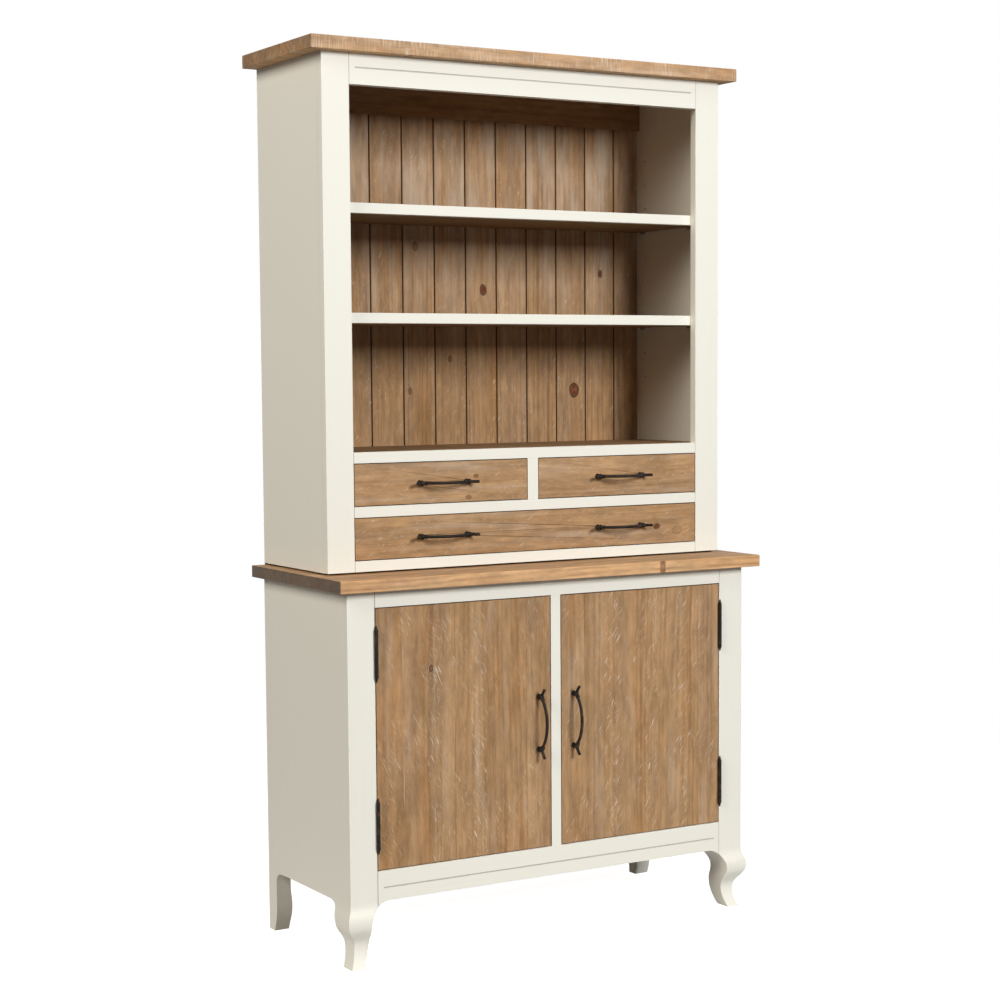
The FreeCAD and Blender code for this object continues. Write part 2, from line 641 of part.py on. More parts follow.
# Pulls
def bow_pull():
    """A bow pull along X with its feet on the plane y = 0 and its bow towards -Y."""
    half = PULL_SPACING / 2
    rise = PULL_BOW - PULL_FOOT
    radius = (half * half + rise * rise) / (2 * rise)
    slope = math.asin(half / radius)
    sweep = math.degrees(slope - PULL_ROOT / radius)
    centre = FreeCAD.Vector(0, radius - PULL_BOW, 0)
    middle = FreeCAD.Vector(0, -PULL_BOW, 0)
    section = Part.Face(Part.Wire(Part.makeCircle(PULL_BAR_RADIUS, middle, AXIS_X)))
    section.rotate(centre, AXIS_Z, -sweep)
    pieces = [section.revolve(centre, AXIS_Z, 2 * sweep)]
    lean = math.radians(PULL_TAIL_ANGLE)
    for side in (LEFT, RIGHT):
        knot_centre = FreeCAD.Vector(side * half, -PULL_FOOT, 0)
        knot = Part.makeSphere(PULL_KNOT_RADIUS, knot_centre)
        # The seam of the ball goes to the front, clear of the bar, the tail and the post
        knot.rotate(knot_centre, AXIS_Z, -90)
        outwards = FreeCAD.Vector(side * math.cos(lean), -math.sin(lean), 0)
        tip_centre = knot_centre + outwards * PULL_TAIL_LENGTH
        tail = Part.makeCone(PULL_BAR_RADIUS, PULL_TAIL_RADIUS, PULL_TAIL_LENGTH - PULL_ROOT,
                             knot_centre + outwards * PULL_ROOT, outwards)
        tip = Part.makeSphere(PULL_TAIL_RADIUS, tip_centre, outwards)
        along_bar = FreeCAD.Vector(-side * math.cos(slope), -math.sin(slope), 0)
        collar_start = knot_centre + along_bar * (PULL_KNOT_RADIUS + PULL_COLLAR_GAP)
        collar = Part.makeCylinder(PULL_COLLAR_RADIUS, PULL_COLLAR_LENGTH, collar_start, along_bar)
        rose = cylinder(PULL_ROSE_RADIUS, (side * half, 0, 0), -AXIS_Y, PULL_ROSE_THICK)
        post_start = PULL_ROSE_THICK / 2
        post = cylinder(PULL_POST_RADIUS, (side * half, -post_start, 0), -AXIS_Y,
                        PULL_FOOT - PULL_ROOT - post_start)
        pieces += [knot, tail, tip, collar, rose, post]
    pull = pieces[0].multiFuse(pieces[1:])
    bores = [cylinder(PULL_SCREW_RADIUS + PULL_SCREW_CLEARANCE, (side * half, 0, 0), -AXIS_Y,
                      PULL_SCREW_REACH + PULL_SCREW_CLEARANCE) for side in (LEFT, RIGHT)]
    return cut_all(pull, bores)


def pull_screws(wood_thick):
    """The two screws of a pull, through the wood behind it."""
    screws = []
    for side in (LEFT, RIGHT):
        x = side * PULL_SPACING / 2
        shank = cylinder(PULL_SCREW_RADIUS, (x, wood_thick, 0), -AXIS_Y, wood_thick + PULL_SCREW_REACH)
        head = cylinder(PULL_SCREW_HEAD_RADIUS, (x, wood_thick, 0), AXIS_Y, PULL_SCREW_HEAD_HEIGHT)
        screws.append(shank.fuse(head))
    return screws


def pull_screw_holes(wood_thick):
    radius = PULL_SCREW_RADIUS + PULL_SCREW_CLEARANCE
    return [cylinder(radius, (side * PULL_SPACING / 2, 0, 0), AXIS_Y, wood_thick) for side in (LEFT, RIGHT)]


def placed(shapes, x, y, z, upright=False):
    """Copies of pull pieces moved onto a face, turned upright for a door."""
    result = []
    for shape in shapes:
        copy = shape.copy()
        if upright:
            copy.rotate(ORIGIN, AXIS_Y, 90)
        copy.translate(FreeCAD.Vector(x, y, z))
        result.append(copy)
    return result


# Doors
def door_board(x0, x1):
    board = box(x0, x1, BUFFET_FRONT, DOOR_BACK, DOOR_BOTTOM, DOOR_TOP)
    return ease_front(board, DOOR_EASE, BUFFET_FRONT)


def door_batten(centre_z):
    return box(DOOR_OUTER_X + BATTEN_EDGE_MARGIN, DOOR_INNER_X - BATTEN_EDGE_MARGIN,
               DOOR_BACK, DOOR_BACK + BATTEN_THICK,
               centre_z - BATTEN_WIDTH / 2, centre_z + BATTEN_WIDTH / 2)


def make_doors():
    hinges = left_hinges()
    inner_edge = DOOR_INNER_X - INNER_BOARD_WIDTH
    middle_edge = inner_edge - MIDDLE_BOARD_WIDTH
    outer = cut_all(door_board(DOOR_OUTER_X, middle_edge), [hinge.door_cutter for hinge in hinges])
    middle = door_board(middle_edge, inner_edge)
    pull_place = (DOOR_PULL_X, BUFFET_FRONT, DOOR_PULL_Z, True)
    inner = cut_all(door_board(inner_edge, DOOR_INNER_X), placed(pull_screw_holes(DOOR_THICK), *pull_place))
    batten_inset = BATTEN_END_MARGIN + BATTEN_WIDTH / 2
    battens = [door_batten(DOOR_BOTTOM + batten_inset), door_batten(DOOR_TOP - batten_inset)]
    leaves = [hinge.door_leaf for hinge in hinges]
    leaf_screws = [screw for hinge in hinges for screw in hinge.door_screws]
    pieces = {
        "boards": [outer, middle, inner],
        "battens": battens,
        "hinge_leaves": leaves,
        "pull": placed([bow_pull()], *pull_place),
        "screws": leaf_screws + placed(pull_screws(DOOR_THICK), *pull_place),
    }
    for side, name in ((LEFT, "left_door"), (RIGHT, "right_door")):
        for part_name, solids in pieces.items():
            save(name + "_" + part_name, *[on_side(solid, side) for solid in solids])


# Hutch case
def shelf_pin_hole(y, z, inner_half):
    """Cutter for a pin hole in the inner face of a left side panel."""
    return cylinder(SHELF_PIN_RADIUS + SHELF_PIN_CLEARANCE, (-inner_half, y, z), -AXIS_X,
                    SHELF_PIN_DEPTH + SHELF_PIN_CLEARANCE)


def shelf_pin(y, z, inner_half):
    return cylinder(SHELF_PIN_RADIUS, (-inner_half - SHELF_PIN_DEPTH, y, z), AXIS_X,
                    SHELF_PIN_DEPTH + SHELF_PIN_REACH)


def hutch_pin_rows():
    return (HUTCH_FRAME_BACK + SHELF_PIN_SETBACK, BACK_Y - SHELF_PIN_SETBACK)


def pin_height(shelf_bottom):
    return shelf_bottom - SHELF_PIN_RADIUS - SHELF_PIN_CLEARANCE


def hutch_left_side_panel():
    panel = box(-HUTCH_HALF, -HUTCH_INNER_HALF, HUTCH_FRAME_BACK, BACK_Y, HUTCH_BOTTOM, HUTCH_TOP)
    rebate = box(-HUTCH_INNER_HALF - PLANK_LAP, -HUTCH_INNER_HALF, PLANK_FRONT, BACK_Y,
                 HUTCH_BOTTOM, HUTCH_TOP)
    cutters = [rebate] + tie_screw_set(SCREW_CLEARANCE)
    for step in range(-PIN_HOLES_BELOW, PIN_HOLES_ABOVE + 1):
        z = pin_height(LOWER_SHELF_BOTTOM) + step * PIN_PITCH
        cutters += [shelf_pin_hole(y, z, HUTCH_INNER_HALF) for y in hutch_pin_rows()]
    return cut_all(panel, cutters)


def back_planks():
    """Upright planks with bevelled edges; the last one takes up the odd width."""
    half = HUTCH_INNER_HALF + PLANK_LAP
    count = max(1, round(2 * half / PLANK_PITCH))
    planks = []
    for index in range(count):
        x0 = -half + index * PLANK_PITCH
        x1 = x0 + PLANK_PITCH if index < count - 1 else half
        plank = box(x0, x1, PLANK_FRONT, PLANK_FRONT + PLANK_THICK, HUTCH_BOTTOM, HUTCH_TOP)
        edges = [edge for edge in plank.Edges
                 if edge.BoundBox.YMax < PLANK_FRONT + ON_PLANE and edge.BoundBox.ZLength > PLANK_PITCH]
        planks.append(plank.makeChamfer(PLANK_CHAMFER, edges))
    return planks


def shelf(bottom):
    half = HUTCH_INNER_HALF - SHELF_END_CLEARANCE
    return box(-half, half, HUTCH_FRAME_BACK + LIPPING_DEPTH, PLANK_FRONT - SHELF_END_CLEARANCE,
               bottom, bottom + SHELF_THICK)


def shelf_lipping(bottom):
    half = HUTCH_INNER_HALF - SHELF_END_CLEARANCE
    lipping = box(-half, half, HUTCH_FRAME_BACK, HUTCH_FRAME_BACK + LIPPING_DEPTH,
                  bottom, bottom + SHELF_THICK)
    return ease_front(lipping, FRAME_EASE, HUTCH_FRAME_BACK)


def case_panel(top, thick):
    """A level panel between the side panels, from the face frame to the planks."""
    return box(-HUTCH_INNER_HALF, HUTCH_INNER_HALF, HUTCH_FRAME_BACK, PLANK_FRONT, top - thick, top)


def all_shelf_pins():
    rows = [(y, pin_height(bottom), HUTCH_INNER_HALF)
            for bottom in (LOWER_SHELF_BOTTOM, UPPER_SHELF_BOTTOM) for y in hutch_pin_rows()]
    rows += [(y, inner_shelf_pin_height(), BUFFET_INNER_HALF) for y in inner_shelf_pin_rows()]
    pins = [shelf_pin(*row) for row in rows]
    return pins + [mirrored(pin) for pin in pins]


def hutch_pads():
    x = -HUTCH_HALF + HUTCH_SIDE_THICK / 2
    pads = []
    for y in (HUTCH_FRAME_BACK, PLANK_FRONT - PAD_LENGTH):
        pads.append(box(x - PAD_WIDTH / 2, x + PAD_WIDTH / 2, y, y + PAD_LENGTH, BUFFET_HEIGHT, HUTCH_BOTTOM))
    return pads + [mirrored(pad) for pad in pads]


def drawer_guides():
    """Strips that steer the drawer boxes: one at each side of both rows, one in the middle."""
    inner = HUTCH_OPENING_HALF - BOX_SIDE_CLEARANCE + GUIDE_CLEARANCE
    middle = DIVIDER_WIDTH / 2 + BOX_SIDE_CLEARANCE - GUIDE_CLEARANCE
    back = HUTCH_FRAME_BACK + BOX_LENGTH
    guides = [box(-middle, middle, HUTCH_FRAME_BACK, back, SMALL_BOTTOM, SMALL_BOTTOM + GUIDE_HEIGHT)]
    for row in (WIDE_BOTTOM, SMALL_BOTTOM):
        guide = box(-HUTCH_INNER_HALF, -inner, HUTCH_FRAME_BACK, back, row, row + GUIDE_HEIGHT)
        guides += [guide, mirrored(guide)]
    return guides


def make_hutch():
    crown = box(-HUTCH_HALF - CROWN_SIDE_OVERHANG, HUTCH_HALF + CROWN_SIDE_OVERHANG,
                HUTCH_FRONT - CROWN_FRONT_OVERHANG, BACK_Y, HUTCH_TOP, HUTCH_TOP + CROWN_THICK)
    save("hutch_crown_board", ease_all(crown, CROWN_EASE))

    stile = frame_board(-HUTCH_HALF, -HUTCH_OPENING_HALF, HUTCH_BOTTOM, HUTCH_TOP, HUTCH_FRONT)
    save("hutch_left_stile", stile)
    save("hutch_right_stile", mirrored(stile))
    side_panel = hutch_left_side_panel()
    save("hutch_left_side_panel", side_panel)
    save("hutch_right_side_panel", mirrored(side_panel))

    top_rail = frame_board(-HUTCH_OPENING_HALF, HUTCH_OPENING_HALF, HUTCH_TOP - HUTCH_TOP_RAIL, HUTCH_TOP,
                           HUTCH_FRONT)
    groove = stopped_groove(HUTCH_OPENING_HALF - GROOVE_MARGIN, HUTCH_FRONT, HUTCH_TOP - TOP_GROOVE_DROP)
    save("hutch_top_rail", top_rail.cut(groove))
    rails = {"hutch_bottom_rail": HUTCH_BOTTOM, "hutch_middle_drawer_rail": WIDE_TOP,
             "hutch_upper_drawer_rail": SMALL_TOP}
    for name, bottom in rails.items():
        top = bottom + DRAWER_RAIL
        save(name, frame_board(-HUTCH_OPENING_HALF, HUTCH_OPENING_HALF, bottom, top, HUTCH_FRONT))
    save("hutch_drawer_divider",
         frame_board(-DIVIDER_WIDTH / 2, DIVIDER_WIDTH / 2, SMALL_BOTTOM, SMALL_TOP, HUTCH_FRONT))

    save("hutch_deck", case_panel(DECK_TOP, DECK_THICK))
    save("hutch_dust_panel", case_panel(SMALL_BOTTOM, DUST_PANEL_THICK))
    save("hutch_bottom_panel", case_panel(WIDE_BOTTOM, BOTTOM_PANEL_THICK))
    save("hutch_drawer_guides", *drawer_guides())
    save("hutch_back_planks", *back_planks())
    save("hutch_back_top_rail", box(-HUTCH_INNER_HALF, HUTCH_INNER_HALF,
                                    PLANK_FRONT - BACK_RAIL_THICK, PLANK_FRONT,
                                    HUTCH_TOP - BACK_RAIL_HEIGHT, HUTCH_TOP))
    save("hutch_shelf_boards", shelf(LOWER_SHELF_BOTTOM), shelf(UPPER_SHELF_BOTTOM))
    save("hutch_shelf_lippings", shelf_lipping(LOWER_SHELF_BOTTOM), shelf_lipping(UPPER_SHELF_BOTTOM))
    save("shelf_pins", *all_shelf_pins())
    save("hutch_pads", *hutch_pads())


# Drawers
def make_drawer(name, x0, x1, z0, z1, pull_places):
    """A drawer in the opening x0 to x1 by z0 to z1, with a pull at each place along X."""
    front_back = HUTCH_FRAME_BACK
    front = box(x0 + DRAWER_GAP, x1 - DRAWER_GAP, HUTCH_FRONT, front_back, z0 + DRAWER_GAP, z1 - DRAWER_GAP)
    front = ease_front(front, DRAWER_EASE, HUTCH_FRONT)
    left = x0 + BOX_SIDE_CLEARANCE
    right = x1 - BOX_SIDE_CLEARANCE
    low = z0 + BOX_LIFT
    high = z1 - BOX_HEADROOM
    back = front_back + BOX_LENGTH
    inner_left = left + BOX_THICK
    inner_right = right - BOX_THICK
    bottom_z = low + BOX_BOTTOM_RAISE
    bottom = box(inner_left - BOX_BOTTOM_LAP, inner_right + BOX_BOTTOM_LAP,
                 front_back - BOX_BOTTOM_LAP, back - BOX_THICK + BOX_BOTTOM_LAP,
                 bottom_z, bottom_z + BOX_BOTTOM_THICK)
    left_side = box(left, inner_left, front_back, back, low, high)
    right_side = box(inner_right, right, front_back, back, low, high)
    back_board = box(inner_left, inner_right, back - BOX_THICK, back, low, high)
    pull_z = (z0 + z1) / 2
    pulls = []
    for x in pull_places:
        place = (x, HUTCH_FRONT, pull_z)
        front = cut_all(front, placed(pull_screw_holes(FRAME_THICK), *place))
        pulls += placed([bow_pull()] + pull_screws(FRAME_THICK), *place)
    save(name + "_front", front.cut(bottom))
    save(name + "_box", left_side.cut(bottom), right_side.cut(bottom), back_board.cut(bottom))
    save(name + "_bottom", bottom)
    save(name + "_pull" if len(pull_places) == 1 else name + "_pulls", *pulls)


def make_drawers():
    inner = DIVIDER_WIDTH / 2
    outer = HUTCH_OPENING_HALF
    make_drawer("left_drawer", -outer, -inner, SMALL_BOTTOM, SMALL_TOP, [-SMALL_DRAWER_X])
    make_drawer("right_drawer", inner, outer, SMALL_BOTTOM, SMALL_TOP, [SMALL_DRAWER_X])
    make_drawer("wide_drawer", -outer, outer, WIDE_BOTTOM, WIDE_TOP, [-SMALL_DRAWER_X, SMALL_DRAWER_X])


os.makedirs("parts", exist_ok=True)
make_buffet()
make_hutch()
make_doors()
make_drawers()
make_carcass_fittings()
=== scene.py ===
"""Buffet and hutch: finishes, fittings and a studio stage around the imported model."""

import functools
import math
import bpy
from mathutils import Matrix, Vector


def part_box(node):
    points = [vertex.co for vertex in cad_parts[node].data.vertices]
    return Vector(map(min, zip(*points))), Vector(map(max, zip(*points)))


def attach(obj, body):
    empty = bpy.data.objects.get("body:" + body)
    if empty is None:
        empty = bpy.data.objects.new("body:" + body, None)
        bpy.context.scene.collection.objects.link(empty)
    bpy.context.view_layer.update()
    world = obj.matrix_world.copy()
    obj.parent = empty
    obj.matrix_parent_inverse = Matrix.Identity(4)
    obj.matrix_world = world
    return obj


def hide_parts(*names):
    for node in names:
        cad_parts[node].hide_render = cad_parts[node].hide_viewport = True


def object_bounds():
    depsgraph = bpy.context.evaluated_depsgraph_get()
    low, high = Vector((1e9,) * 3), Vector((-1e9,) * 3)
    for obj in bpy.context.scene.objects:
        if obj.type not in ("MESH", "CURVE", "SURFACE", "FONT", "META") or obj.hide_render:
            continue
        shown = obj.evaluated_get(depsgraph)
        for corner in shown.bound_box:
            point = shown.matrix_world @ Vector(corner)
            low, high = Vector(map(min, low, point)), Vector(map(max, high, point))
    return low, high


bl_info = {
    "name": "Buffet and Hutch",
    "version": (1, 0, 0),
    "blender": (4, 5, 0),
    "location": "View3D > Sidebar > Hutch",
    "description": "Dresses the packed buffet and hutch with its finishes, fittings and stage",
    "category": "Object",
}

import bmesh
import bpy
from mathutils import Matrix, Vector

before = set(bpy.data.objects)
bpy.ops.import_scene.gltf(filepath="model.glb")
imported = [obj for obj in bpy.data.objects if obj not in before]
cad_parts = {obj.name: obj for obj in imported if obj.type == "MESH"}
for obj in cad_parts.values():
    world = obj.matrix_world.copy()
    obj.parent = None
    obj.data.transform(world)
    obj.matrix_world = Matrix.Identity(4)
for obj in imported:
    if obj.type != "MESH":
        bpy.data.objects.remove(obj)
cad_low, cad_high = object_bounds()

MERGE_DISTANCE = 1e-5
BEVEL_ANGLE = math.radians(35)
SHARP_ANGLE = math.radians(38)
COUNTERSUNK_RADIUS = 0.0038
KNOT_STRETCH = 1.45
SENSOR_WIDTH = 36.0
SCORE_WIDTH = 0.0009
JOINT_WIDTH = 0.0014
FLOOR_REACH = 40.0
FLOOR_UNDER = (0.5, 0.5, 0.49, 1.0)
FLOOR_DULL = (0.16, 0.16, 0.16, 1.0)
FLOOR_PALE = (0.8, 0.8, 0.8, 1.0)
WHITE = (1.0, 1.0, 1.0, 1.0)
KEY_TINT = (1.0, 1.0, 1.0)
FILL_TINT = (1.0, 0.94, 0.86)
FORWARD = Vector((0, -1, 0))

# A pull's collar, as metres along the bar and shares of the bar's radius
COLLAR = ((0.0064, 0.9), (0.0066, 1.2), (0.0072, 1.42), (0.0084, 1.48), (0.0095, 1.4), (0.0100, 1.15),
          (0.0102, 0.9))
# A pull's rose, as distances from the board and radii in metres
ROSE = ((0.0, 0.0061), (0.0009, 0.0062), (0.0016, 0.0058), (0.0021, 0.0051), (0.0026, 0.0045),
        (0.0040, 0.0041), (0.0070, 0.0038), (0.0100, 0.0041))
# Patterns in the pine, in waves per metre across the grain and along it
PINE_WAVES = {
    "sway": (4.0, 0.8), "wobble": (26.0, 2.6), "ragged": (70.0, 45.0), "lines": (150.0, 0.8),
    "broad": (34.0, 0.9), "streak": (12.0, 3.2), "patch": (26.0, 7.0), "band": (17.0, 0.8),
    "fibre": (480.0, 9.0), "mottle": (90.0, 24.0), "crowd": (15.0, 9.0), "pores": (430.0, 42.0),
    "pore crowd": (13.0, 3.6), "haze": (46.0, 3.4), "veil_and_painted_light": (30.0, 5.0), "breaks": (20.0, 9.0),
}
# Marks of the saw, in waves per metre along X, Y and Z
SAW_TEETH = (300.0, 40.0, 22.0)
SAW_PATCHES = (14.0, 11.0, 24.0)


def shown(red, green, blue):
    """The linear colour of a shade that is written as it shows on a screen, 0 to 255."""
    shade = []
    for part in (red, green, blue):
        level = part / 255
        shade.append(level / 12.92 if level <= 0.04045 else ((level + 0.055) / 1.055) ** 2.4)
    return tuple(shade)


def colour(label, about, shade):
    return bpy.props.FloatVectorProperty(
        name=label, description=about, subtype="COLOR", size=3, min=0, max=1, default=shown(*shade))


def length(label, about, metres):
    return bpy.props.FloatProperty(
        name=label, description=about, unit="LENGTH", subtype="DISTANCE", precision=5, default=metres)


def turn(label, about, degrees):
    return bpy.props.FloatProperty(
        name=label, description=about, unit="ROTATION", subtype="ANGLE", default=math.radians(degrees))


def share(label, about, amount):
    return bpy.props.FloatProperty(
        name=label, description=about, subtype="FACTOR", min=0, max=1, default=amount)


class HutchFinishes(bpy.types.PropertyGroup):
    """Colours of the paint, the wood and the metal."""

    cream: colour("Cream paint", "Brushed paint of the frame and the sides", (242, 240, 229))
    # This brown also serves as painted shade on the inner faces of the hutch's sides
    dirt_and_shade: colour("Dirt", "Brown dirt in the joints and grooves", (112, 98, 78))
    pine_light: colour("Pine, light", "Pale early wood", (174, 138, 99))
    pine_warm: colour("Pine, warm", "Orange-brown streaks", (162, 119, 75))
    pine_grey: colour("Pine, weathered", "Grey weathered streaks", (157, 129, 102))
    pine_dark: colour("Pine, late wood", "Dark late wood lines", (104, 70, 42))
    knot: colour("Knot", "Heart of a knot", (108, 54, 32))
    knot_rim: colour("Knot rim", "Dark bark round a knot", (58, 34, 22))
    whitewash: colour("Whitewash", "Rubbed white left in scratches and pores", (226, 212, 194))
    inside: colour("Inside wood", "Plain wood of the parts inside", (205, 172, 128))
    iron: colour("Iron", "Blackened iron of the pulls and hinges", (26, 21, 17))
    iron_brown: colour("Iron, rubbed", "Brown where the blackening is rubbed", (74, 52, 38))
    steel: colour("Steel", "Zinc-plated pins, plates and screws", (178, 178, 176))
    felt: colour("Felt", "Felt pads between hutch and counter", (58, 52, 46))


class HutchSizes(bpy.types.PropertyGroup):
    """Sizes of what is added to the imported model."""

    paint_edge: length("Painted edge", "Rounding of the painted boards' edges", 0.0009)
    wood_edge: length("Wood edge", "Rounding of the bare boards' edges", 0.0007)
    metal_edge: length("Metal edge", "Rounding of the hinge leaves' edges", 0.0003)
    pull_spacing: length("Pull spacing", "Distance between the feet of a pull", 0.115)
    pull_foot: length("Pull foot", "Stand-off of the bar at the feet", 0.012)
    pull_bow: length("Pull bow", "Stand-off of the bar at its middle", 0.035)
    pull_bar: length("Pull bar", "Radius of the bar at its middle", 0.0034)
    pull_knot: length("Pull knot", "Radius of the knot on each foot", 0.006)
    pull_tail: length("Pull tail", "Length of the tail beyond each foot", 0.0235)
    tail_lean: turn("Tail lean", "How far the tails turn away from the board", 36)
    screw_slot: length("Screw slot", "Width of the slot in a screw's head", 0.0009)
    slot_depth: length("Slot depth", "Depth of the slot in a screw's head", 0.0006)
    pad_edge: length("Pad edge", "Rounding of the felt pads' edges", 0.0012)


class HutchStage(bpy.types.PropertyGroup):
    """Camera, lamps and floor."""

    camera_place: bpy.props.FloatVectorProperty(
        name="Camera place", description="Where the camera stands", subtype="TRANSLATION", unit="LENGTH",
        default=(-2.38895, -3.96709, 1.24125))
    camera_yaw: turn("Camera yaw", "Turn of the camera towards the right", 30.772)
    camera_pitch: turn("Camera pitch", "Tilt of the camera, down is negative", -4.663)
    camera_roll: turn("Camera roll", "Roll of the camera about its axis", -0.399)
    camera_lens: bpy.props.FloatProperty(
        name="Lens", description="Focal length on a 36 mm sensor", unit="CAMERA", default=74.603)
    camera_shift: bpy.props.FloatProperty(
        name="Rise", description="Upward shift of the picture", default=0.03976)
    key_level: share("Key level", "Light of the key lamp on a surface that faces it", 0.80)
    key_height: turn("Key height", "Elevation of the key lamp", 20.8)
    key_turn: turn("Key turn", "Turn of the key lamp towards the right", 9)
    key_distance: length("Key distance", "Distance of the key lamp", 6.4)
    key_size: length("Key size", "Width of the key lamp", 2.0)
    fill_level: share("Fill level", "Light of the left lamp on a surface that faces it", 0.64)
    fill_height: turn("Fill height", "Elevation of the left lamp", 30.0154)
    fill_turn: turn("Fill turn", "Turn of the left lamp, left is negative", -75.0003)
    fill_distance: length("Fill distance", "Distance of the left lamp", 8.0)
    fill_size: length("Fill size", "Width of the left lamp", 4.0)
    ambient: share("Ambient", "Even light from all round", 0.02)
    floor_glow: share("Floor glow", "Share of the floor's white that needs no light", 0.95)
    bounce_near: length("Bounce near", "Up to here the floor lights from below", 0.55)
    bounce_far: length("Bounce far", "From here the floor gives little light back", 1.1)
    floor_near: length("Floor near", "Distance at which the floor begins to fade to white", 1.2)
    floor_far: length("Floor far", "Distance at which the floor is all white", 3.0)


class Socket:
    """A shader socket: sums on it add Math nodes, and make() adds any other node."""

    def __init__(self, tree, link=None):
        self.tree = tree
        self.link = link

    def make(self, kind, settings=None, values=None, result=0):
        """One output of a new node; its settings are set first, then the values or links of its sockets."""
        node = self.tree.nodes.new(kind)
        for name, setting in (settings or {}).items():
            setattr(node, name, setting)
        for name, value in (values or {}).items():
            if isinstance(value, Socket):
                self.tree.links.new(value.link, node.inputs[name])
            else:
                node.inputs[name].default_value = value
        return Socket(self.tree, node.outputs[result])

    def sum(self, operation, *terms):
        return self.make("ShaderNodeMath", {"operation": operation}, dict(enumerate(terms)))

    def __add__(self, other):
        return self.sum("ADD", self, other)

    def __radd__(self, other):
        return self.sum("ADD", other, self)

    def __sub__(self, other):
        return self.sum("SUBTRACT", self, other)

    def __rsub__(self, other):
        return self.sum("SUBTRACT", other, self)

    def __mul__(self, other):
        return self.sum("MULTIPLY", self, other)

    def __rmul__(self, other):
        return self.sum("MULTIPLY", other, self)

    def __truediv__(self, other):
        return self.sum("DIVIDE", self, other)

    def __rtruediv__(self, other):
        return self.sum("DIVIDE", other, self)

    def __gt__(self, other):
        return self.sum("GREATER_THAN", self, other)

    def root(self):
        return self.sum("SQRT", self)

    def fraction(self):
        return self.sum("FRACT", self)

    def size(self):
        return self.sum("ABSOLUTE", self)

    def most(self, other):
        return self.sum("MAXIMUM", self, other)

    def step(self, low, high):
        """0 at low and 1 at high, eased between; the two may stand in either order."""
        return self.make("ShaderNodeMapRange", {"interpolation_type": "SMOOTHSTEP"},
                         {"Value": self, "From Min": low, "From Max": high})

    def parts(self):
        split = self.make("ShaderNodeSeparateXYZ", None, {0: self})
        return [Socket(self.tree, output) for output in split.link.node.outputs]

    def noise(self, scales, detail=2.0, roughness=0.5):
        """Soft noise over this place; the scales are in waves per metre along its three axes."""
        place = self.make("ShaderNodeVectorMath", {"operation": "MULTIPLY"}, {0: self, 1: scales})
        return self.make("ShaderNodeTexNoise", None, {
            "Vector": place, "Scale": 1.0, "Detail": detail, "Roughness": roughness})

    def bright(self, factor):
        """This colour, brighter or darker by a factor."""
        return self.make("ShaderNodeVectorMath", {"operation": "SCALE"}, {0: self, "Scale": factor})

    def towards(self, shade, factor):
        """This colour mixed with a plain one."""
        return self.make("ShaderNodeMix", {"data_type": "RGBA"}, {0: factor, 6: self, 7: (*shade, 1.0)}, 2)

    def between(self, first, second):
        """A shader between two others."""
        return self.make("ShaderNodeMixShader", None, {0: self, 1: first, 2: second})


class Finish:
    """A new material with one Principled shader, and the place that its pattern is read from."""

    def __init__(self, name):
        self.shades = bpy.context.scene.hutch_finishes
        self.material = bpy.data.materials.new(name)
        self.material.use_nodes = True
        tree = self.material.node_tree
        self.shader = tree.nodes["Principled BSDF"]
        self.start = Socket(tree)
        self.place = self.start.make("ShaderNodeTexCoord", None, None, "Object")

    def join(self, *parts):
        return self.start.make("ShaderNodeCombineXYZ", None, dict(enumerate(parts)))

    def follow(self, grain):
        """The places along the grain, across it and into the board; grain names the first two axes."""
        axes = dict(zip("XYZ", self.place.parts()))
        inward = next(name for name in "XYZ" if name not in grain)
        return axes[grain[0]], axes[grain[1]], axes[inward]

    def plain(self, shade):
        """A colour as a socket, so that patterns can be mixed into it."""
        node = self.start.make("ShaderNodeRGB")
        node.link.default_value = (*shade, 1.0)
        return node

    def set(self, base, roughness, height, bump, depth, **constants):
        """The finished material; height is pressed in by a bump of that strength and depth."""
        links = self.start.tree.links
        links.new(base.link, self.shader.inputs["Base Color"])
        links.new(roughness.link, self.shader.inputs["Roughness"])
        normal = self.start.make("ShaderNodeBump", None, {
            "Strength": bump, "Distance": depth, "Height": height})
        links.new(normal.link, self.shader.inputs["Normal"])
        for name, value in constants.items():
            self.shader.inputs[name.replace("_", " ")].default_value = value
        return self.material


def cream_paint(name, brush, rail=None, panel=None):
    """Brushed satin paint; brush is the axis that the strokes follow.

    A rail is named to have dirt left in the joints at its ends and in the groove along its face.
    A side panel is named to have painted shade on its inner face, which is made darker than the outer one.
    """
    paint = Finish(name)
    fine = [7.0 if axis == brush else 620.0 for axis in "XYZ"]
    wide = [2.5 if axis == brush else 90.0 for axis in "XYZ"]
    strokes = paint.place.noise(fine)
    bands = paint.place.noise(wide)
    cloud = paint.place.noise((2.4, 2.4, 2.4), 3.0)
    tone = 0.962 + 0.03 * strokes + 0.026 * bands + 0.02 * cloud
    base = paint.plain(paint.shades.cream).bright(tone)
    if rail is not None:
        low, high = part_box(rail)
        level, depth, rise = paint.place.parts()
        middle = (low.x + high.x) / 2
        joint = ((level - middle).size() - (high.x - middle)).step(-0.0014, -0.0006)
        sunk = depth.step(low.y + 0.0003, low.y + 0.0009) * depth.step(low.y + 0.0030, low.y + 0.0020)
        inside = rise.step(low.z + 0.008, low.z + 0.010) * rise.step(high.z - 0.008, high.z - 0.010)
        dirt_and_shade = joint.most(sunk * inside * 0.75)
        base = base.towards(paint.shades.dirt_and_shade, dirt_and_shade * 0.62)
    # Painted shade: the inner face of a hutch side is darkened, standing in for the shade inside the bays
    if panel is not None:
        low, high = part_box(panel)
        inner = min(abs(low.x), abs(high.x))
        level = paint.place.parts()[0]
        dull = (level.size() - inner).step(0.004, 0.002)
        base = base.towards(paint.shades.dirt_and_shade, dull * (0.12 + 0.16 * cloud))
    return paint.set(base, 0.42 + 0.16 * strokes, strokes + 0.6 * bands, 0.12, 0.0003,
                     Specular_IOR_Level=0.25)


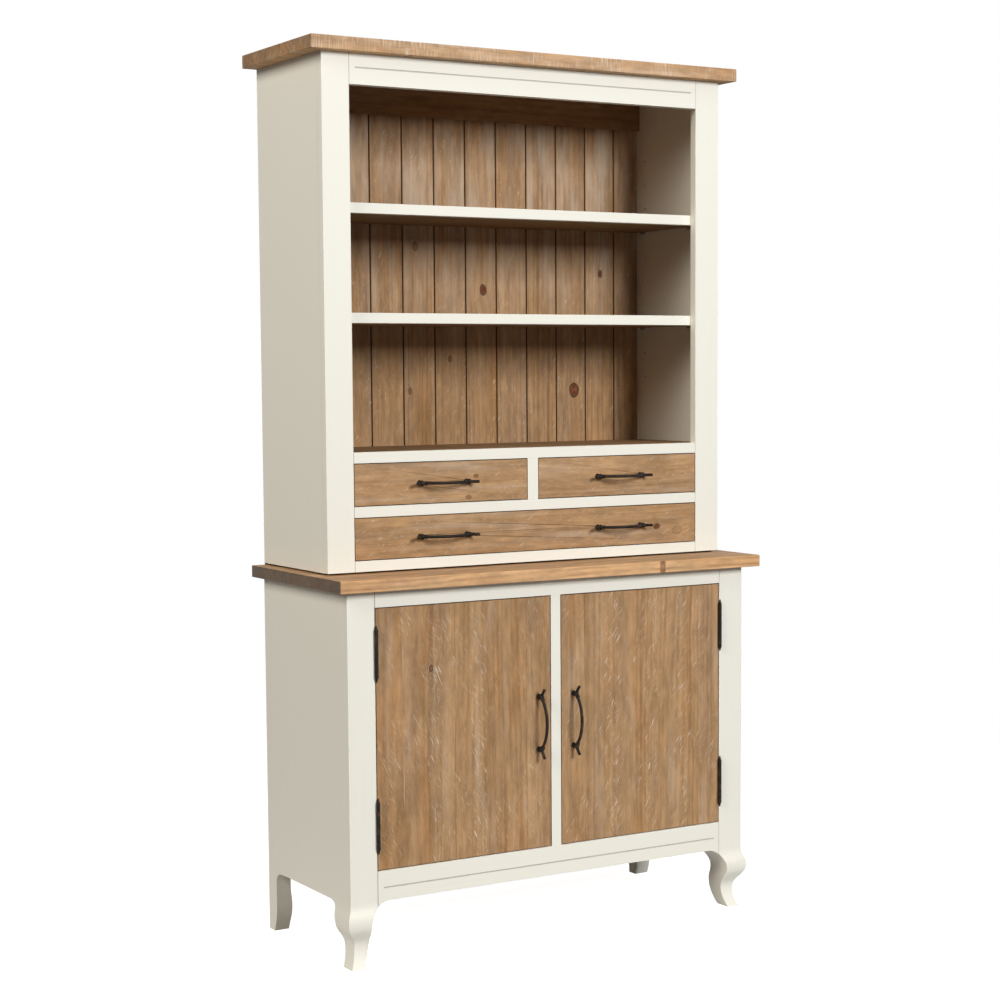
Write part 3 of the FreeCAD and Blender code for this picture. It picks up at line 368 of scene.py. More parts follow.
def strongest(masks):
    """The largest of several masks at each place, or nothing where there are none."""
    return functools.reduce(Socket.most, masks) if masks else None


class Boards(Finish):
    """A material of pine boards, each cut from another place in the wood."""

    def __init__(self, name, grain, seed, joints):
        super().__init__(name)
        self.level, self.back, self.rise = self.place.parts()
        self.along, self.across, self.depth = self.follow(grain)
        board = seed
        for joint in joints:
            board = (self.across > joint) + board
        chance = self.start.make("ShaderNodeTexWhiteNoise", {"noise_dimensions": "1D"}, {"W": board}, 1)
        self.first, self.second, self.third = chance.parts()
        self.cut = self.join(self.across + self.first * 7.3, self.depth + self.second * 5.1,
                             self.along + self.third * 9.7)

    def pattern(self, name, detail=2.0, roughness=0.5, place=None):
        across, along = PINE_WAVES[name]
        return (place or self.cut).noise((across, across, along), detail, roughness)

    def at_front(self, face):
        """1 on a front face, 0 a few millimetres behind it."""
        return self.back.step(face + 0.004, face + 0.001)

    def rings(self, heart, spread, knots):
        """The distance from the heart, bent by the knots, and the knots' cores and rims."""
        off_heart = self.across - (heart[0] + (self.first - 0.5) * spread)
        behind = self.depth - heart[1]
        radius = (off_heart * off_heart + behind * behind).root()
        radius = radius + self.pattern("sway") * 0.06 + self.pattern("wobble", 1.0) * 0.006
        ragged = 0.8 + 0.4 * self.pattern("ragged", 1.0)
        cores = []
        rims = []
        for knot_across, knot_along, size, strength in knots:
            off = (self.across - knot_across) / size
            lift = (self.along - knot_along) / (size * KNOT_STRETCH)
            gap = (off * off + lift * lift).root() * ragged
            radius = radius + (size * 1.1) / (gap * gap * 0.3 + 1.0)
            cores.append(gap.step(0.95, 0.6) * strength * (0.7 + 0.5 * ragged.step(0.9, 1.1)))
            rims.append(gap.step(0.6, 0.9) * gap.step(1.25, 0.98) * strength)
        return radius, strongest(cores), strongest(rims)

    def scratches(self, slant, fleck):
        """Scratches at one slant, and weaker ones at two others."""
        found = []
        for angle in (slant, -0.8 * slant, 2.2 * slant):
            lean = math.radians(angle)
            leaning = self.join(self.level * math.cos(lean) - self.rise * math.sin(lean), self.depth,
                                self.level * math.sin(lean) + self.rise * math.cos(lean) + angle)
            stroke = leaning.noise((fleck, 60.0, 36.0), 1.0).step(0.66, 0.74)
            found.append(stroke * (1.0 if angle == slant else 0.35))
        return strongest(found)

    def crowds(self, columns, from_joint):
        """Where the scratches crowd: in clouds, in columns and along evenly spaced joints."""
        found = [self.pattern("crowd").step(0.42, 0.66) * 0.75]
        if from_joint is not None:
            near = (from_joint * from_joint).step(0.020 ** 2, 0.008 ** 2)
            found.append(near * self.along.step(1.6, 1.2))
        for column, width in columns:
            from_column = (self.across - column) / width
            found.append((from_column * from_column).step(1.0, 0.2))
        return strongest(found)

    def pale_marks(self, wash, scratches, scores, saw):
        """Whitewash in sharp marks: scratches, pores, long scores and what the saw left."""
        pores = self.pattern("pores", 1.0).step(0.67, 0.73)
        pore_crowd = self.pattern("pore crowd", 1.0).step(0.45, 0.62)
        found = [scratches, pores * pore_crowd * wash * 0.55]
        for score, strength in scores:
            from_score = (self.across - score) / SCORE_WIDTH
            broken = self.pattern("breaks").step(0.42, 0.58)
            found.append((from_score * from_score).step(1.0, 0.1) * broken * strength)
        if saw is not None:
            teeth = self.place.noise(SAW_TEETH)
            patches = self.place.noise(SAW_PATCHES).step(0.34, 0.6)
            found.append(teeth.step(0.46, 0.66) * patches * self.at_front(saw) * 0.8)
        return strongest(found)


def pine(name, grain, seed, warm=0.5, grey=0.4, wash=0.5, strokes=0.5, slant=27.0, tint=1.0, joints=(),
         pitch=None, knots=(), columns=(), scores=(), heart=(0.0, 0.0), spread=0.4, spacing=0.012,
         ends=None, veil_and_painted_light=None, saw=None, front=None, figure=0.45, shine=0.15, fleck=440.0):
    """Weathered pine boards, with amounts of warm and grey streaks, wash and strokes from 0 to 1.

    grain names the axis along the grain, then the axis across the boards. The joints are where one
    board ends and the next begins, at an even pitch if there is one. The rings run round a heart,
    which each board has at another place. Each knot is its place across and along, its radius and
    its strength. The columns are where slanting scratches crowd, with their widths. The scores are
    long pale scratches along the grain, with their strengths. veil_and_painted_light is where a white
    wash that thickens upwards begins and where it is full; it is partly whitewash and partly painted
    light, paler towards the top. ends are the two places of end grain and its darkness, saw is the
    front edge that the saw left rough, and front is a front edge and how much paler it is. figure is
    the strength of the dark lines, shine that of the gloss, and fleck is the scratches' waves per metre.
    """
    boards = Boards(name, grain, seed, joints)
    across = boards.across
    along = boards.along
    dark = boards.shades.pine_dark
    white = boards.shades.whitewash
    bark = boards.shades.knot_rim

    # Rings: fine lines, broad bands and late wood
    radius, core, rim = boards.rings(heart, spread, knots)
    inward = boards.depth * 0.2
    lines = boards.pattern("lines", 3.0, 0.62, boards.join(radius, inward, along + boards.third * 9.7))
    broad = boards.pattern("broad", 2.0, 0.5, boards.join(radius, inward, along + boards.first * 8.1))
    ring = (radius / spacing + lines * 0.9).fraction()
    late = ring.step(0.2, 0.75) * ring.step(1.0, 0.75) * broad.step(0.35, 0.65)

    # Colour: pale wood with warm and grey streaks, dark lines and a different tone for each board
    streak = boards.pattern("streak", 3.0)
    patch = boards.pattern("patch", 3.0, 0.6)
    mottle = boards.pattern("mottle", 3.0, 0.6)
    fibre = boards.pattern("fibre")
    band = boards.join(across + boards.first * 3.1, boards.depth + 4.0, along + boards.third * 2.3)
    grey_band = boards.pattern("band", 2.0, 0.5, band).step(0.4, 0.68)
    warm_streak = (streak + broad * 0.5).step(0.9 - 0.4 * warm, 1.25 - 0.4 * warm)
    base = boards.plain(boards.shades.pine_light).towards(boards.shades.pine_warm, warm_streak * 0.8)
    base = base.towards(boards.shades.pine_grey, grey_band * grey * 0.8)
    base = base.towards(dark, lines.step(0.42, 0.8) * figure * patch.step(0.25, 0.6) + late * 0.22)
    base = base.towards(dark, fibre.step(0.5, 0.85) * 0.34)
    shade = 0.34 * mottle.step(0.25, 0.75) + 0.32 * patch.step(0.25, 0.75)
    base = base.bright((0.61 + 0.16 * boards.second + 0.12 * fibre + shade) * tint)
    if front is not None:
        base = base.bright(1.0 + front[1] * boards.at_front(front[0]))
    if ends is not None:
        middle = (ends[0] + ends[1]) / 2
        from_end = (along - middle).size() - (ends[1] - middle)
        base = base.bright(1.0 - ends[2] * from_end.step(-0.0011, -0.0004))

    # Whitewash: a haze in the pores, a wash that thickens upwards and sharp marks; the upward wash is
    # partly painted light, paler towards the top
    from_joint = None
    if pitch is not None:
        from_joint = ((across - joints[0]) / pitch + 0.5).fraction() * pitch - pitch / 2
    haze = boards.pattern("haze", 3.0).step(0.5, 0.8) * (0.26 * wash)
    if veil_and_painted_light is not None:
        # Partly painted light: the boards turn paler and greyer upwards
        haze = haze + along.step(*veil_and_painted_light) * boards.pattern("veil_and_painted_light", 3.0).step(0.3, 0.75) * 0.46
    scratches = boards.scratches(slant, fleck) * boards.crowds(columns, from_joint) * strokes
    marks = boards.pale_marks(wash, scratches, scores, saw)
    base = base.towards(white, haze).towards(white, marks * 0.74)
    height = lines * -0.5 + fibre * 0.4 - marks * 0.4
    if core is not None:
        base = base.towards(bark, rim * 0.9).towards(boards.shades.knot, core * 0.95)
        height = height + core * 0.4 - rim * 0.5

    # Joints: a dark line in each groove, with a painted highlight on the bevel beside it where the boards
    # are even
    if from_joint is not None:
        # Painted highlight: the bevel beside each groove is made pale, as if it caught the light
        bevel = from_joint.step(0.0014, 0.0022) * from_joint.step(0.0052, 0.0036)
        groove = (from_joint * from_joint).step(0.0021 ** 2, 0.0012 ** 2)
        base = base.towards(boards.shades.pine_light, bevel * 0.8).towards(bark, groove * 0.95)
    else:
        for joint in joints:
            off_joint = (across - joint) / JOINT_WIDTH
            base = base.bright(1.0 - 0.85 * (off_joint * off_joint).step(1.0, 0.2))
    roughness = 0.6 + 0.12 * fibre - 0.08 * lines + 0.12 * marks
    return boards.set(base, roughness, height, 0.3, 0.0007, IOR=1.45, Specular_IOR_Level=shine)


def plain_wood(name, grain):
    """Sanded plain wood of the parts inside; grain names the axes along and across."""
    wood = Finish(name)
    along, across, depth = wood.follow(grain)
    place = wood.join(across, depth, along)
    wave = place.noise((3.4, 3.4, 0.7))
    lines = (across * 60.0 + wave * 9.0).fraction()
    late = lines.step(0.3, 0.9) * lines.step(1.0, 0.92)
    fibre = place.noise((420.0, 420.0, 5.0))
    cloud = place.noise((9.0, 9.0, 1.0))
    base = wood.plain(wood.shades.inside).towards(wood.shades.pine_light, cloud * 0.5)
    base = base.towards(wood.shades.pine_warm, late * 0.3).bright(0.92 + 0.14 * fibre)
    return wood.set(base, 0.58 + 0.15 * fibre, late * 0.5 + fibre * 0.5, 0.2, 0.0004)


def forged_iron(name):
    """Blackened forged iron with a lightly hammered face."""
    iron = Finish(name)
    dents = iron.start.make("ShaderNodeTexVoronoi", {"feature": "SMOOTH_F1"}, {
        "Vector": iron.place, "Scale": 210.0, "Smoothness": 0.7})
    rub = iron.place.noise((75.0, 75.0, 75.0), 3.0)
    grit = iron.place.noise((900.0, 900.0, 900.0))
    base = iron.plain(iron.shades.iron).towards(iron.shades.iron_brown, rub.step(0.5, 0.72) * 0.7)
    return iron.set(base, 0.36 + 0.2 * grit + 0.1 * rub, dents + 0.2 * grit, 0.35, 0.0006, Metallic=0.75)


def plated_steel(name):
    """Dull zinc-plated steel."""
    steel = Finish(name)
    cloud = steel.place.noise((60.0, 60.0, 60.0), 3.0)
    lines = steel.place.noise((1200.0, 160.0, 160.0))
    base = steel.plain(steel.shades.steel).bright(0.86 + 0.2 * cloud)
    return steel.set(base, 0.26 + 0.2 * lines + 0.1 * cloud, lines, 0.1, 0.0002, Metallic=1.0)


def wool_felt(name):
    """Pressed wool felt."""
    felt = Finish(name)
    hairs = felt.place.noise((900.0, 900.0, 500.0), 4.0, 0.7)
    tufts = felt.place.noise((140.0, 140.0, 140.0), 3.0)
    base = felt.plain(felt.shades.felt).bright(0.55 + 0.6 * hairs + 0.3 * tufts)
    return felt.set(base, 0.85 + 0.15 * hairs, hairs + tufts, 0.6, 0.0008)


def dress(material, edge, *nodes):
    """Gives CAD nodes a finish, and rounds their edges by the size that edge names, if it names one."""
    for node in nodes:
        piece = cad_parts[node]
        for slot in piece.material_slots:
            slot.material = material
        if edge is not None:
            weld = piece.modifiers.new("Weld", "WELD")
            weld.merge_threshold = MERGE_DISTANCE
            bevel = piece.modifiers.new("Rounded edges", "BEVEL")
            bevel.width = getattr(bpy.context.scene.hutch_sizes, edge)
            bevel.segments = 2
            bevel.limit_method = "ANGLE"
            bevel.angle_limit = BEVEL_ANGLE
            normals = piece.modifiers.new("Even shading", "WEIGHTED_NORMAL")
            normals.keep_sharp = False


def make_object(name, mesh, material):
    """A new object from a bmesh, which is then freed."""
    data = bpy.data.meshes.new(name)
    mesh.to_mesh(data)
    mesh.free()
    data.materials.append(material)
    made = bpy.data.objects.new(name, data)
    bpy.context.scene.collection.objects.link(made)
    return made


def make_piece(name, mesh, material, body):
    """A new object that faces outwards and rides on a body."""
    bmesh.ops.recalc_face_normals(mesh, faces=mesh.faces)
    piece = make_object(name, mesh, material)
    piece.data.shade_smooth()
    piece.data.set_sharp_from_angle(angle=SHARP_ANGLE)
    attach(piece, body)
    return piece


def islands(node):
    """The points of each solid of a CAD node, from a merged copy of its mesh, from left to right."""
    mesh = bmesh.new()
    mesh.from_mesh(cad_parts[node].data)
    bmesh.ops.remove_doubles(mesh, verts=mesh.verts, dist=MERGE_DISTANCE)
    left = set(mesh.verts)
    found = []
    while left:
        front = [left.pop()]
        group = []
        while front:
            vert = front.pop()
            group.append(vert.co.copy())
            for edge in vert.link_edges:
                other = edge.other_vert(vert)
                if other in left:
                    left.remove(other)
                    front.append(other)
        found.append(group)
    mesh.free()
    return sorted(found, key=lambda points: tuple(round(part, 4) for part in corners(points)[0]))


def corners(points):
    low = Vector([min(point[axis] for point in points) for axis in range(3)])
    high = Vector([max(point[axis] for point in points) for axis in range(3)])
    return low, high


def bevel_joints(node):
    """Where the bevels of neighbouring boards meet, from left to right."""
    low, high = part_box(node)
    feet = [point.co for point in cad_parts[node].data.vertices
            if low.y + MERGE_DISTANCE < point.co.y < high.y - MERGE_DISTANCE]
    return sorted({round(foot.x, 5) for foot in feet})[1:-1]


def section(place, direction, radius):
    """The matrix that puts a unit circle at a place, square to a direction."""
    turned = direction.to_track_quat("Z", "Y").to_matrix().to_4x4()
    return Matrix.Translation(place) @ turned @ Matrix.Scale(radius, 4)


def draw_through(mesh, sections, sides=16):
    """A closed round bar through sections in turn; gives its last face."""
    made = bmesh.ops.create_circle(mesh, cap_ends=True, segments=sides, radius=1.0, matrix=sections[0])
    end = made["verts"][0].link_faces[0]
    for index in range(1, len(sections)):
        grown = bmesh.ops.extrude_face_region(mesh, geom=[end])["geom"]
        if index > 1:
            bmesh.ops.delete(mesh, geom=[end], context="FACES_ONLY")
        verts = [item for item in grown if isinstance(item, bmesh.types.BMVert)]
        bmesh.ops.transform(mesh, matrix=sections[index] @ sections[index - 1].inverted(), verts=verts)
        end = next(item for item in grown if isinstance(item, bmesh.types.BMFace))
    return end


def turned_bar(mesh, place, start, direction, profile, sides=16):
    """A round bar along a line, moved to its place; the profile lists distances and radii."""
    sections = [place @ section(start + direction * distance, direction, radius)
                for distance, radius in profile]
    return draw_through(mesh, sections, sides)


def bow_pull_mesh(mesh, place):
    """One forged bow pull, drawn with its feet on the plane y = 0 and moved to its place."""
    sizes = bpy.context.scene.hutch_sizes
    half = sizes.pull_spacing / 2
    rise = sizes.pull_bow - sizes.pull_foot
    radius = (half * half + rise * rise) / (2 * rise)
    slope = math.asin(half / radius)
    centre = Vector((0, radius - sizes.pull_bow, 0))
    steps = 28
    bar = []
    for index in range(steps + 1):
        angle = slope * (2 * index / steps - 1)
        spot = centre + radius * Vector((math.sin(angle), -math.cos(angle), 0))
        swell = 0.94 + 0.06 * math.cos(angle / slope * math.pi / 2)
        heading = Vector((math.cos(angle), math.sin(angle), 0))
        bar.append(place @ section(spot, heading, sizes.pull_bar * swell))
    draw_through(mesh, bar)
    for side in (-1, 1):
        foot = Vector((side * half, -sizes.pull_foot, 0))
        bmesh.ops.create_icosphere(mesh, subdivisions=3, radius=sizes.pull_knot,
                                   matrix=place @ Matrix.Translation(foot))
        along_bar = Vector((-side * math.cos(slope), -math.sin(slope), 0))
        thick = sizes.pull_bar
        collar = [(distance, wide * thick) for distance, wide in COLLAR]
        turned_bar(mesh, place, foot, along_bar, collar)
        tail = []
        spot = foot.copy()
        tail_steps = 14
        for index in range(tail_steps + 1):
            reach = index / tail_steps
            lean = sizes.tail_lean * (0.82 + 0.36 * reach)
            direction = Vector((side * math.cos(lean), -math.sin(lean), 0))
            if index:
                spot = spot + direction * (sizes.pull_tail / tail_steps)
            bulb = math.exp(-((reach - 0.86) / 0.1) ** 2)
            end = math.sqrt(max(0.03, 1 - max(0.0, (reach - 0.88) / 0.12) ** 2))
            girth = thick * (1.08 - 0.24 * reach + 0.16 * bulb) * end
            tail.append(place @ section(spot, direction, girth))
        draw_through(mesh, tail)
        turned_bar(mesh, place, Vector((side * half, 0, 0)), FORWARD, ROSE, 20)


class ScrewPlace:
    """Where a CAD screw stands: the middle of its head, its direction, length and head radius."""

    def __init__(self, points):
        low, high = corners(points)
        spans = high - low
        axis = max(range(3), key=lambda index: spans[index])
        middle = (low + high) / 2
        reach = {}
        for point in points:
            off = point - middle
            off[axis] = 0
            end = point[axis] > middle[axis]
            reach[end] = max(reach.get(end, 0.0), off.length)
        head_high = reach.get(True, 0.0) > reach.get(False, 0.0)
        self.direction = Vector((0, 0, 0))
        self.direction[axis] = -1 if head_high else 1
        self.head = middle.copy()
        self.head[axis] = high[axis] if head_high else low[axis]
        self.length = spans[axis]
        self.radius = max(reach.values())


def slotted_screw_mesh(mesh, place, profile):
    """A screw from its tip to its head, with a slot sunk into the head."""
    sizes = bpy.context.scene.hutch_sizes
    start = place.head + place.direction * place.length
    cap = turned_bar(mesh, Matrix.Identity(4), start, -place.direction, profile, 18)
    bmesh.ops.inset_individual(mesh, faces=[cap], thickness=place.radius * 0.2)
    across = place.direction.orthogonal().normalized()
    strip = {cap}
    for side in (-1, 1):
        geom = list(strip) + list({edge for face in strip for edge in face.edges})
        geom += list({vert for face in strip for vert in face.verts})
        wall = place.head + across * side * sizes.screw_slot / 2
        cut = bmesh.ops.bisect_plane(mesh, geom=geom, plane_co=wall, plane_no=across)
        strip = {item for item in cut["geom"] if isinstance(item, bmesh.types.BMFace)}
        strip = {face for face in strip
                 if side * (face.calc_center_median() - place.head).dot(across) < sizes.screw_slot / 2}
    sunk = bmesh.ops.extrude_face_region(mesh, geom=list(strip))["geom"]
    bmesh.ops.delete(mesh, geom=list(strip), context="FACES_ONLY")
    verts = [item for item in sunk if isinstance(item, bmesh.types.BMVert)]
    bmesh.ops.translate(mesh, vec=place.direction * sizes.slot_depth, verts=verts)


def wood_screw_profile(place):
    """A pointed shank and a countersunk head, as distances from the tip and radii."""
    long = place.length
    return [(0.0, 0.0002), (0.0035, 0.0015), (0.0040, 0.0017), (long - 0.0015, 0.0017),
            (long - 0.0002, place.radius), (long, place.radius * 0.97)]


def pull_screw_profile(place):
    """A machine screw with a rounded head, as distances from the tip and radii."""
    long = place.length
    wide = place.radius
    return [(0.0, 0.0016), (0.0006, 0.0020), (long - 0.0024, 0.0020), (long - 0.0024, wide * 0.98),
            (long - 0.0012, wide), (long - 0.0005, wide * 0.93), (long, wide * 0.74)]


def place_camera(stage):
    camera = bpy.data.objects.new("photo_camera", bpy.data.cameras.new("photo_camera"))
    camera.data.sensor_width = SENSOR_WIDTH
    camera.data.lens = stage.camera_lens
    camera.data.shift_y = stage.camera_shift
    turned = (Matrix.Rotation(-stage.camera_yaw, 4, "Z")
              @ Matrix.Rotation(math.radians(90) + stage.camera_pitch, 4, "X")
              @ Matrix.Rotation(stage.camera_roll, 4, "Z"))
    camera.matrix_world = Matrix.Translation(stage.camera_place) @ turned
    bpy.context.scene.collection.objects.link(camera)
    bpy.context.scene.camera = camera


def add_lamp(stage, name, kind, tint):
    """A square lamp aimed at the middle; at a level of 1, white that faces it shows as white."""
    around, height, distance, size, level = [
        getattr(stage, kind + part) for part in ("_turn", "_height", "_distance", "_size", "_level")]
    data = bpy.data.lights.new(name, "AREA")
    data.shape = "SQUARE"
    data.size = size
    data.energy = level * math.pi ** 2 * distance ** 2
    data.color = tint
    flat = math.cos(height)
    way = Vector((math.sin(around) * flat, -math.cos(around) * flat, math.sin(height)))
    lamp = bpy.data.objects.new(name, data)
    lamp.matrix_world = (Matrix.Translation((cad_low + cad_high) / 2 + way * distance)
                         @ way.to_track_quat("Z", "Y").to_matrix().to_4x4())
    lamp.visible_camera = False
    bpy.context.scene.collection.objects.link(lamp)


def lay_floor(stage):
    mesh = bmesh.new()
    bmesh.ops.create_grid(mesh, x_segments=1, y_segments=1, size=FLOOR_REACH)
    material = bpy.data.materials.new("pale_floor")
    material.use_nodes = True
    tree = material.node_tree
    tree.nodes.remove(tree.nodes["Principled BSDF"])
    start = Socket(tree)
    place = start.make("ShaderNodeTexCoord", None, None, "Object").parts()
    distance = (place[0] * place[0] + place[1] * place[1]).root()
    under = start.make("ShaderNodeBsdfDiffuse", None, {"Color": FLOOR_UNDER})
    dull = start.make("ShaderNodeBsdfDiffuse", None, {"Color": FLOOR_DULL})
    outward = distance.step(stage.bounce_near, stage.bounce_far)
    bounce = outward.between(under, dull)
    pale = start.make("ShaderNodeBsdfDiffuse", None, {"Color": FLOOR_PALE})
    glow = start.make("ShaderNodeEmission", None, {"Strength": stage.floor_glow})
    both = start.make("ShaderNodeAddShader", None, {0: pale, 1: glow})
    away = start.make("ShaderNodeEmission", None, {"Strength": 1.0})
    fade = distance.step(stage.floor_near, stage.floor_far)
    seen = fade.between(both, away)
    mixed = seen_directly(start).between(bounce, seen)
    tree.links.new(mixed.link, tree.nodes["Material Output"].inputs["Surface"])
    floor = make_object("studio_floor", mesh, material)


def seen_directly(start):
    """1 for rays that show the surroundings as they look, 0 for the light that they give."""
    path = start.make("ShaderNodeLightPath").link.node
    rays = [Socket(start.tree, path.outputs[name])
            for name in ("Is Camera Ray", "Is Glossy Ray", "Is Transmission Ray")]
    return strongest(rays)


def light_surroundings(stage):
    world = bpy.data.worlds.new("white_surroundings")
    world.use_nodes = True
    bpy.context.scene.world = world
    tree = world.node_tree
    start = Socket(tree)
    white = start.make("ShaderNodeBackground", None, {"Color": WHITE, "Strength": 1.0})
    even = start.make("ShaderNodeBackground", None, {"Color": WHITE, "Strength": stage.ambient})
    mixed = seen_directly(start).between(even, white)
    tree.links.new(mixed.link, tree.nodes["World Output"].inputs["Surface"])


class HUTCH_OT_paint_frame(bpy.types.Operator):
    """Paint the posts, panels, rails and lippings cream"""

    bl_idname = "hutch.paint_frame"
    bl_label = "Paint the frame"

    def execute(self, context):
        upright = cream_paint("cream_paint_upright", "Z")
        for side in ("left", "right"):
            dress(upright, "paint_edge", f"buffet_front_{side}_post", f"buffet_back_{side}_post",
                  f"buffet_{side}_side_panel", f"hutch_{side}_stile")
        dress(upright, "paint_edge", "buffet_center_mullion", "hutch_drawer_divider")
        # The sides' inner faces get painted shade
        panel = "hutch_right_side_panel"
        shaded_inside_paint = cream_paint("cream_paint_panel", "Z", panel=panel)
        dress(shaded_inside_paint, "paint_edge", "hutch_left_side_panel", panel)
        dress(cream_paint("cream_paint_level", "X"), "paint_edge", "hutch_shelf_lippings")
        for rail in ("buffet_top_rail", "buffet_bottom_rail", "hutch_top_rail", "hutch_bottom_rail",
                     "hutch_middle_drawer_rail", "hutch_upper_drawer_rail"):
            dress(cream_paint(rail + "_paint", "X", rail), "paint_edge", rail)
        return {"FINISHED"}


class HUTCH_OT_finish_top_boards(bpy.types.Operator):
    """Finish the crown and the counter in pine"""

    bl_idname = "hutch.finish_top_boards"
    bl_label = "Finish crown and counter"

    def execute(self, context):
        crown_low, crown_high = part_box("hutch_crown_board")
        crown = pine("crown_pine", "XY", 3.0, grey=0.9, wash=0.9, strokes=0.15, tint=1.42,
                     heart=(0.0, crown_low.z - 0.05), spread=0.2, saw=crown_low.y,
                     ends=(crown_low.x, crown_high.x, 0.42))
        dress(crown, "wood_edge", "hutch_crown_board")
        counter_low, counter_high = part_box("buffet_top_board")
        counter = pine("counter_pine", "XY", 11.0, grey=0.1, wash=0.3, strokes=0.05, tint=1.16,
                       front=(counter_low.y, 0.4), figure=0.9, shine=0.5,
                       heart=(counter_low.y + 0.02, counter_low.z - 0.11), spread=0.1, spacing=0.011,
                       knots=[(counter_low.y, 0.2633, 0.0042, 0.8)],
                       ends=(counter_low.x, counter_high.x, 0.8))
        dress(counter, "wood_edge", "buffet_top_board")
        return {"FINISHED"}


class HUTCH_OT_finish_back(bpy.types.Operator):
    """Finish the hutch's back planks, top strip, shelves and deck in pine"""

    bl_idname = "hutch.finish_back"
    bl_label = "Finish back and shelves"

    def execute(self, context):
        low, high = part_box("hutch_back_planks")
        joints = bevel_joints("hutch_back_planks")
        knots = [(0.0507, 1.4278, 0.0085, 0.95), (0.3754, 1.4703, 0.006, 0.9),
                 (0.3001, 1.1942, 0.0115, 1.0), (-0.1439, 1.1967, 0.005, 0.7),
                 (-0.0386, 1.2689, 0.005, 0.7), (-0.1271, 1.5244, 0.007, 0.6)]
        # The planks turn paler upwards: whitewash, and partly painted light
        planks = pine("plank_pine", "ZX", 21.0, warm=0.45, grey=0.6, wash=0.7, strokes=1.0, fleck=300.0,
                      joints=joints, pitch=joints[1] - joints[0], knots=knots, figure=0.75,
                      heart=(0.0, low.y + 0.08), spread=1.1, veil_and_painted_light=(1.2, 1.7))
        dress(planks, None, "hutch_back_planks")
        strip = pine("back_strip_pine", "XZ", 31.0, warm=0.7, grey=0.2, wash=0.3, strokes=0.1, tint=0.8,
                     heart=(high.z - 0.1, high.y + 0.03), spread=0.05)
        dress(strip, "wood_edge", "hutch_back_top_rail")
        shelf = pine("shelf_pine", "XY", 41.0, warm=0.6, grey=0.3, wash=0.25, strokes=0.1, tint=0.64,
                     heart=(0.05, 1.0), spread=0.3)
        dress(shelf, "wood_edge", "hutch_shelf_boards", "hutch_deck")
        return {"FINISHED"}


class HUTCH_OT_finish_doors(bpy.types.Operator):
    """Finish the plank doors in whitewashed pine"""

    bl_idname = "hutch.finish_doors"
    bl_label = "Finish the doors"

    def execute(self, context):
        looks = {
            "left_door": {
                "seed": 51.0, "slant": -24.0, "scores": [(-0.3763, 0.7), (-0.302, 0.4)],
                "knots": [(-0.3098, 0.6205, 0.0045, 0.95)], "columns": [(-0.300, 0.022), (-0.195, 0.026)]},
            "right_door": {
                "seed": 64.0, "knots": [(0.3701, 0.6465, 0.005, 0.16), (0.3675, 0.3972, 0.004, 0.16)],
                "columns": [(0.2488, 0.022), (0.150, 0.03), (0.335, 0.02)]},
        }
        for door, look in looks.items():
            low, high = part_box(door + "_boards")
            joints = sorted({round(corners(points)[0].x, 5) for points in islands(door + "_boards")})[1:]
            boards = pine(door + "_pine", "ZX", grey=0.55, wash=0.75, strokes=1.0, joints=joints,
                          heart=((low.x + high.x) / 2, low.y + 0.07), spread=0.5, **look)
            dress(boards, "wood_edge", door + "_boards")
        dress(plain_wood("batten_wood", "XZ"), "wood_edge", "left_door_battens", "right_door_battens")
        return {"FINISHED"}


class HUTCH_OT_finish_drawers(bpy.types.Operator):
    """Finish the drawer fronts in pine and their boxes in plain wood"""

    bl_idname = "hutch.finish_drawers"
    bl_label = "Finish the drawers"

    def execute(self, context):
        knots = {
            "left_drawer": [(1.0150, -0.1449, 0.004, 0.7), (0.9700, -0.1640, 0.005, 0.55)],
            "right_drawer": [],
            "wide_drawer": [(0.8854, 0.3300, 0.006, 0.9), (0.8740, 0.3870, 0.009, 0.25)],
        }
        for index, (drawer, places) in enumerate(knots.items()):
            low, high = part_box(drawer + "_front")
            middle = (low.z + high.z) / 2
            front = pine(drawer + "_pine", "XZ", 71.0 + 4 * index, warm=0.4, wash=0.9,
                         strokes=0.75, slant=58.0, columns=[(middle, (high.z - low.z) * 0.7)],
                         knots=places, heart=(middle, low.y + 0.06), spread=0.2, tint=1.04)
            dress(front, "wood_edge", drawer + "_front")
        side_wood = plain_wood("drawer_side_wood", "YZ")
        bottom_wood = plain_wood("drawer_bottom_wood", "XY")
        for drawer in knots:
            dress(side_wood, "wood_edge", drawer + "_box")
            dress(bottom_wood, None, drawer + "_bottom")
        return {"FINISHED"}


class HUTCH_OT_finish_inside(bpy.types.Operator):
    """Finish the panels and guides inside in plain wood"""

    bl_idname = "hutch.finish_inside"
    bl_label = "Finish the inside"

    def execute(self, context):
        dress(plain_wood("level_panel_wood", "XY"), "wood_edge", "buffet_floor_panel", "buffet_inner_shelf",
              "door_stop", "hutch_dust_panel", "hutch_bottom_panel")
        dress(plain_wood("back_panel_wood", "ZX"), "wood_edge", "buffet_back_panel")
        dress(plain_wood("guide_wood", "YX"), "wood_edge", "hutch_drawer_guides")
        return {"FINISHED"}


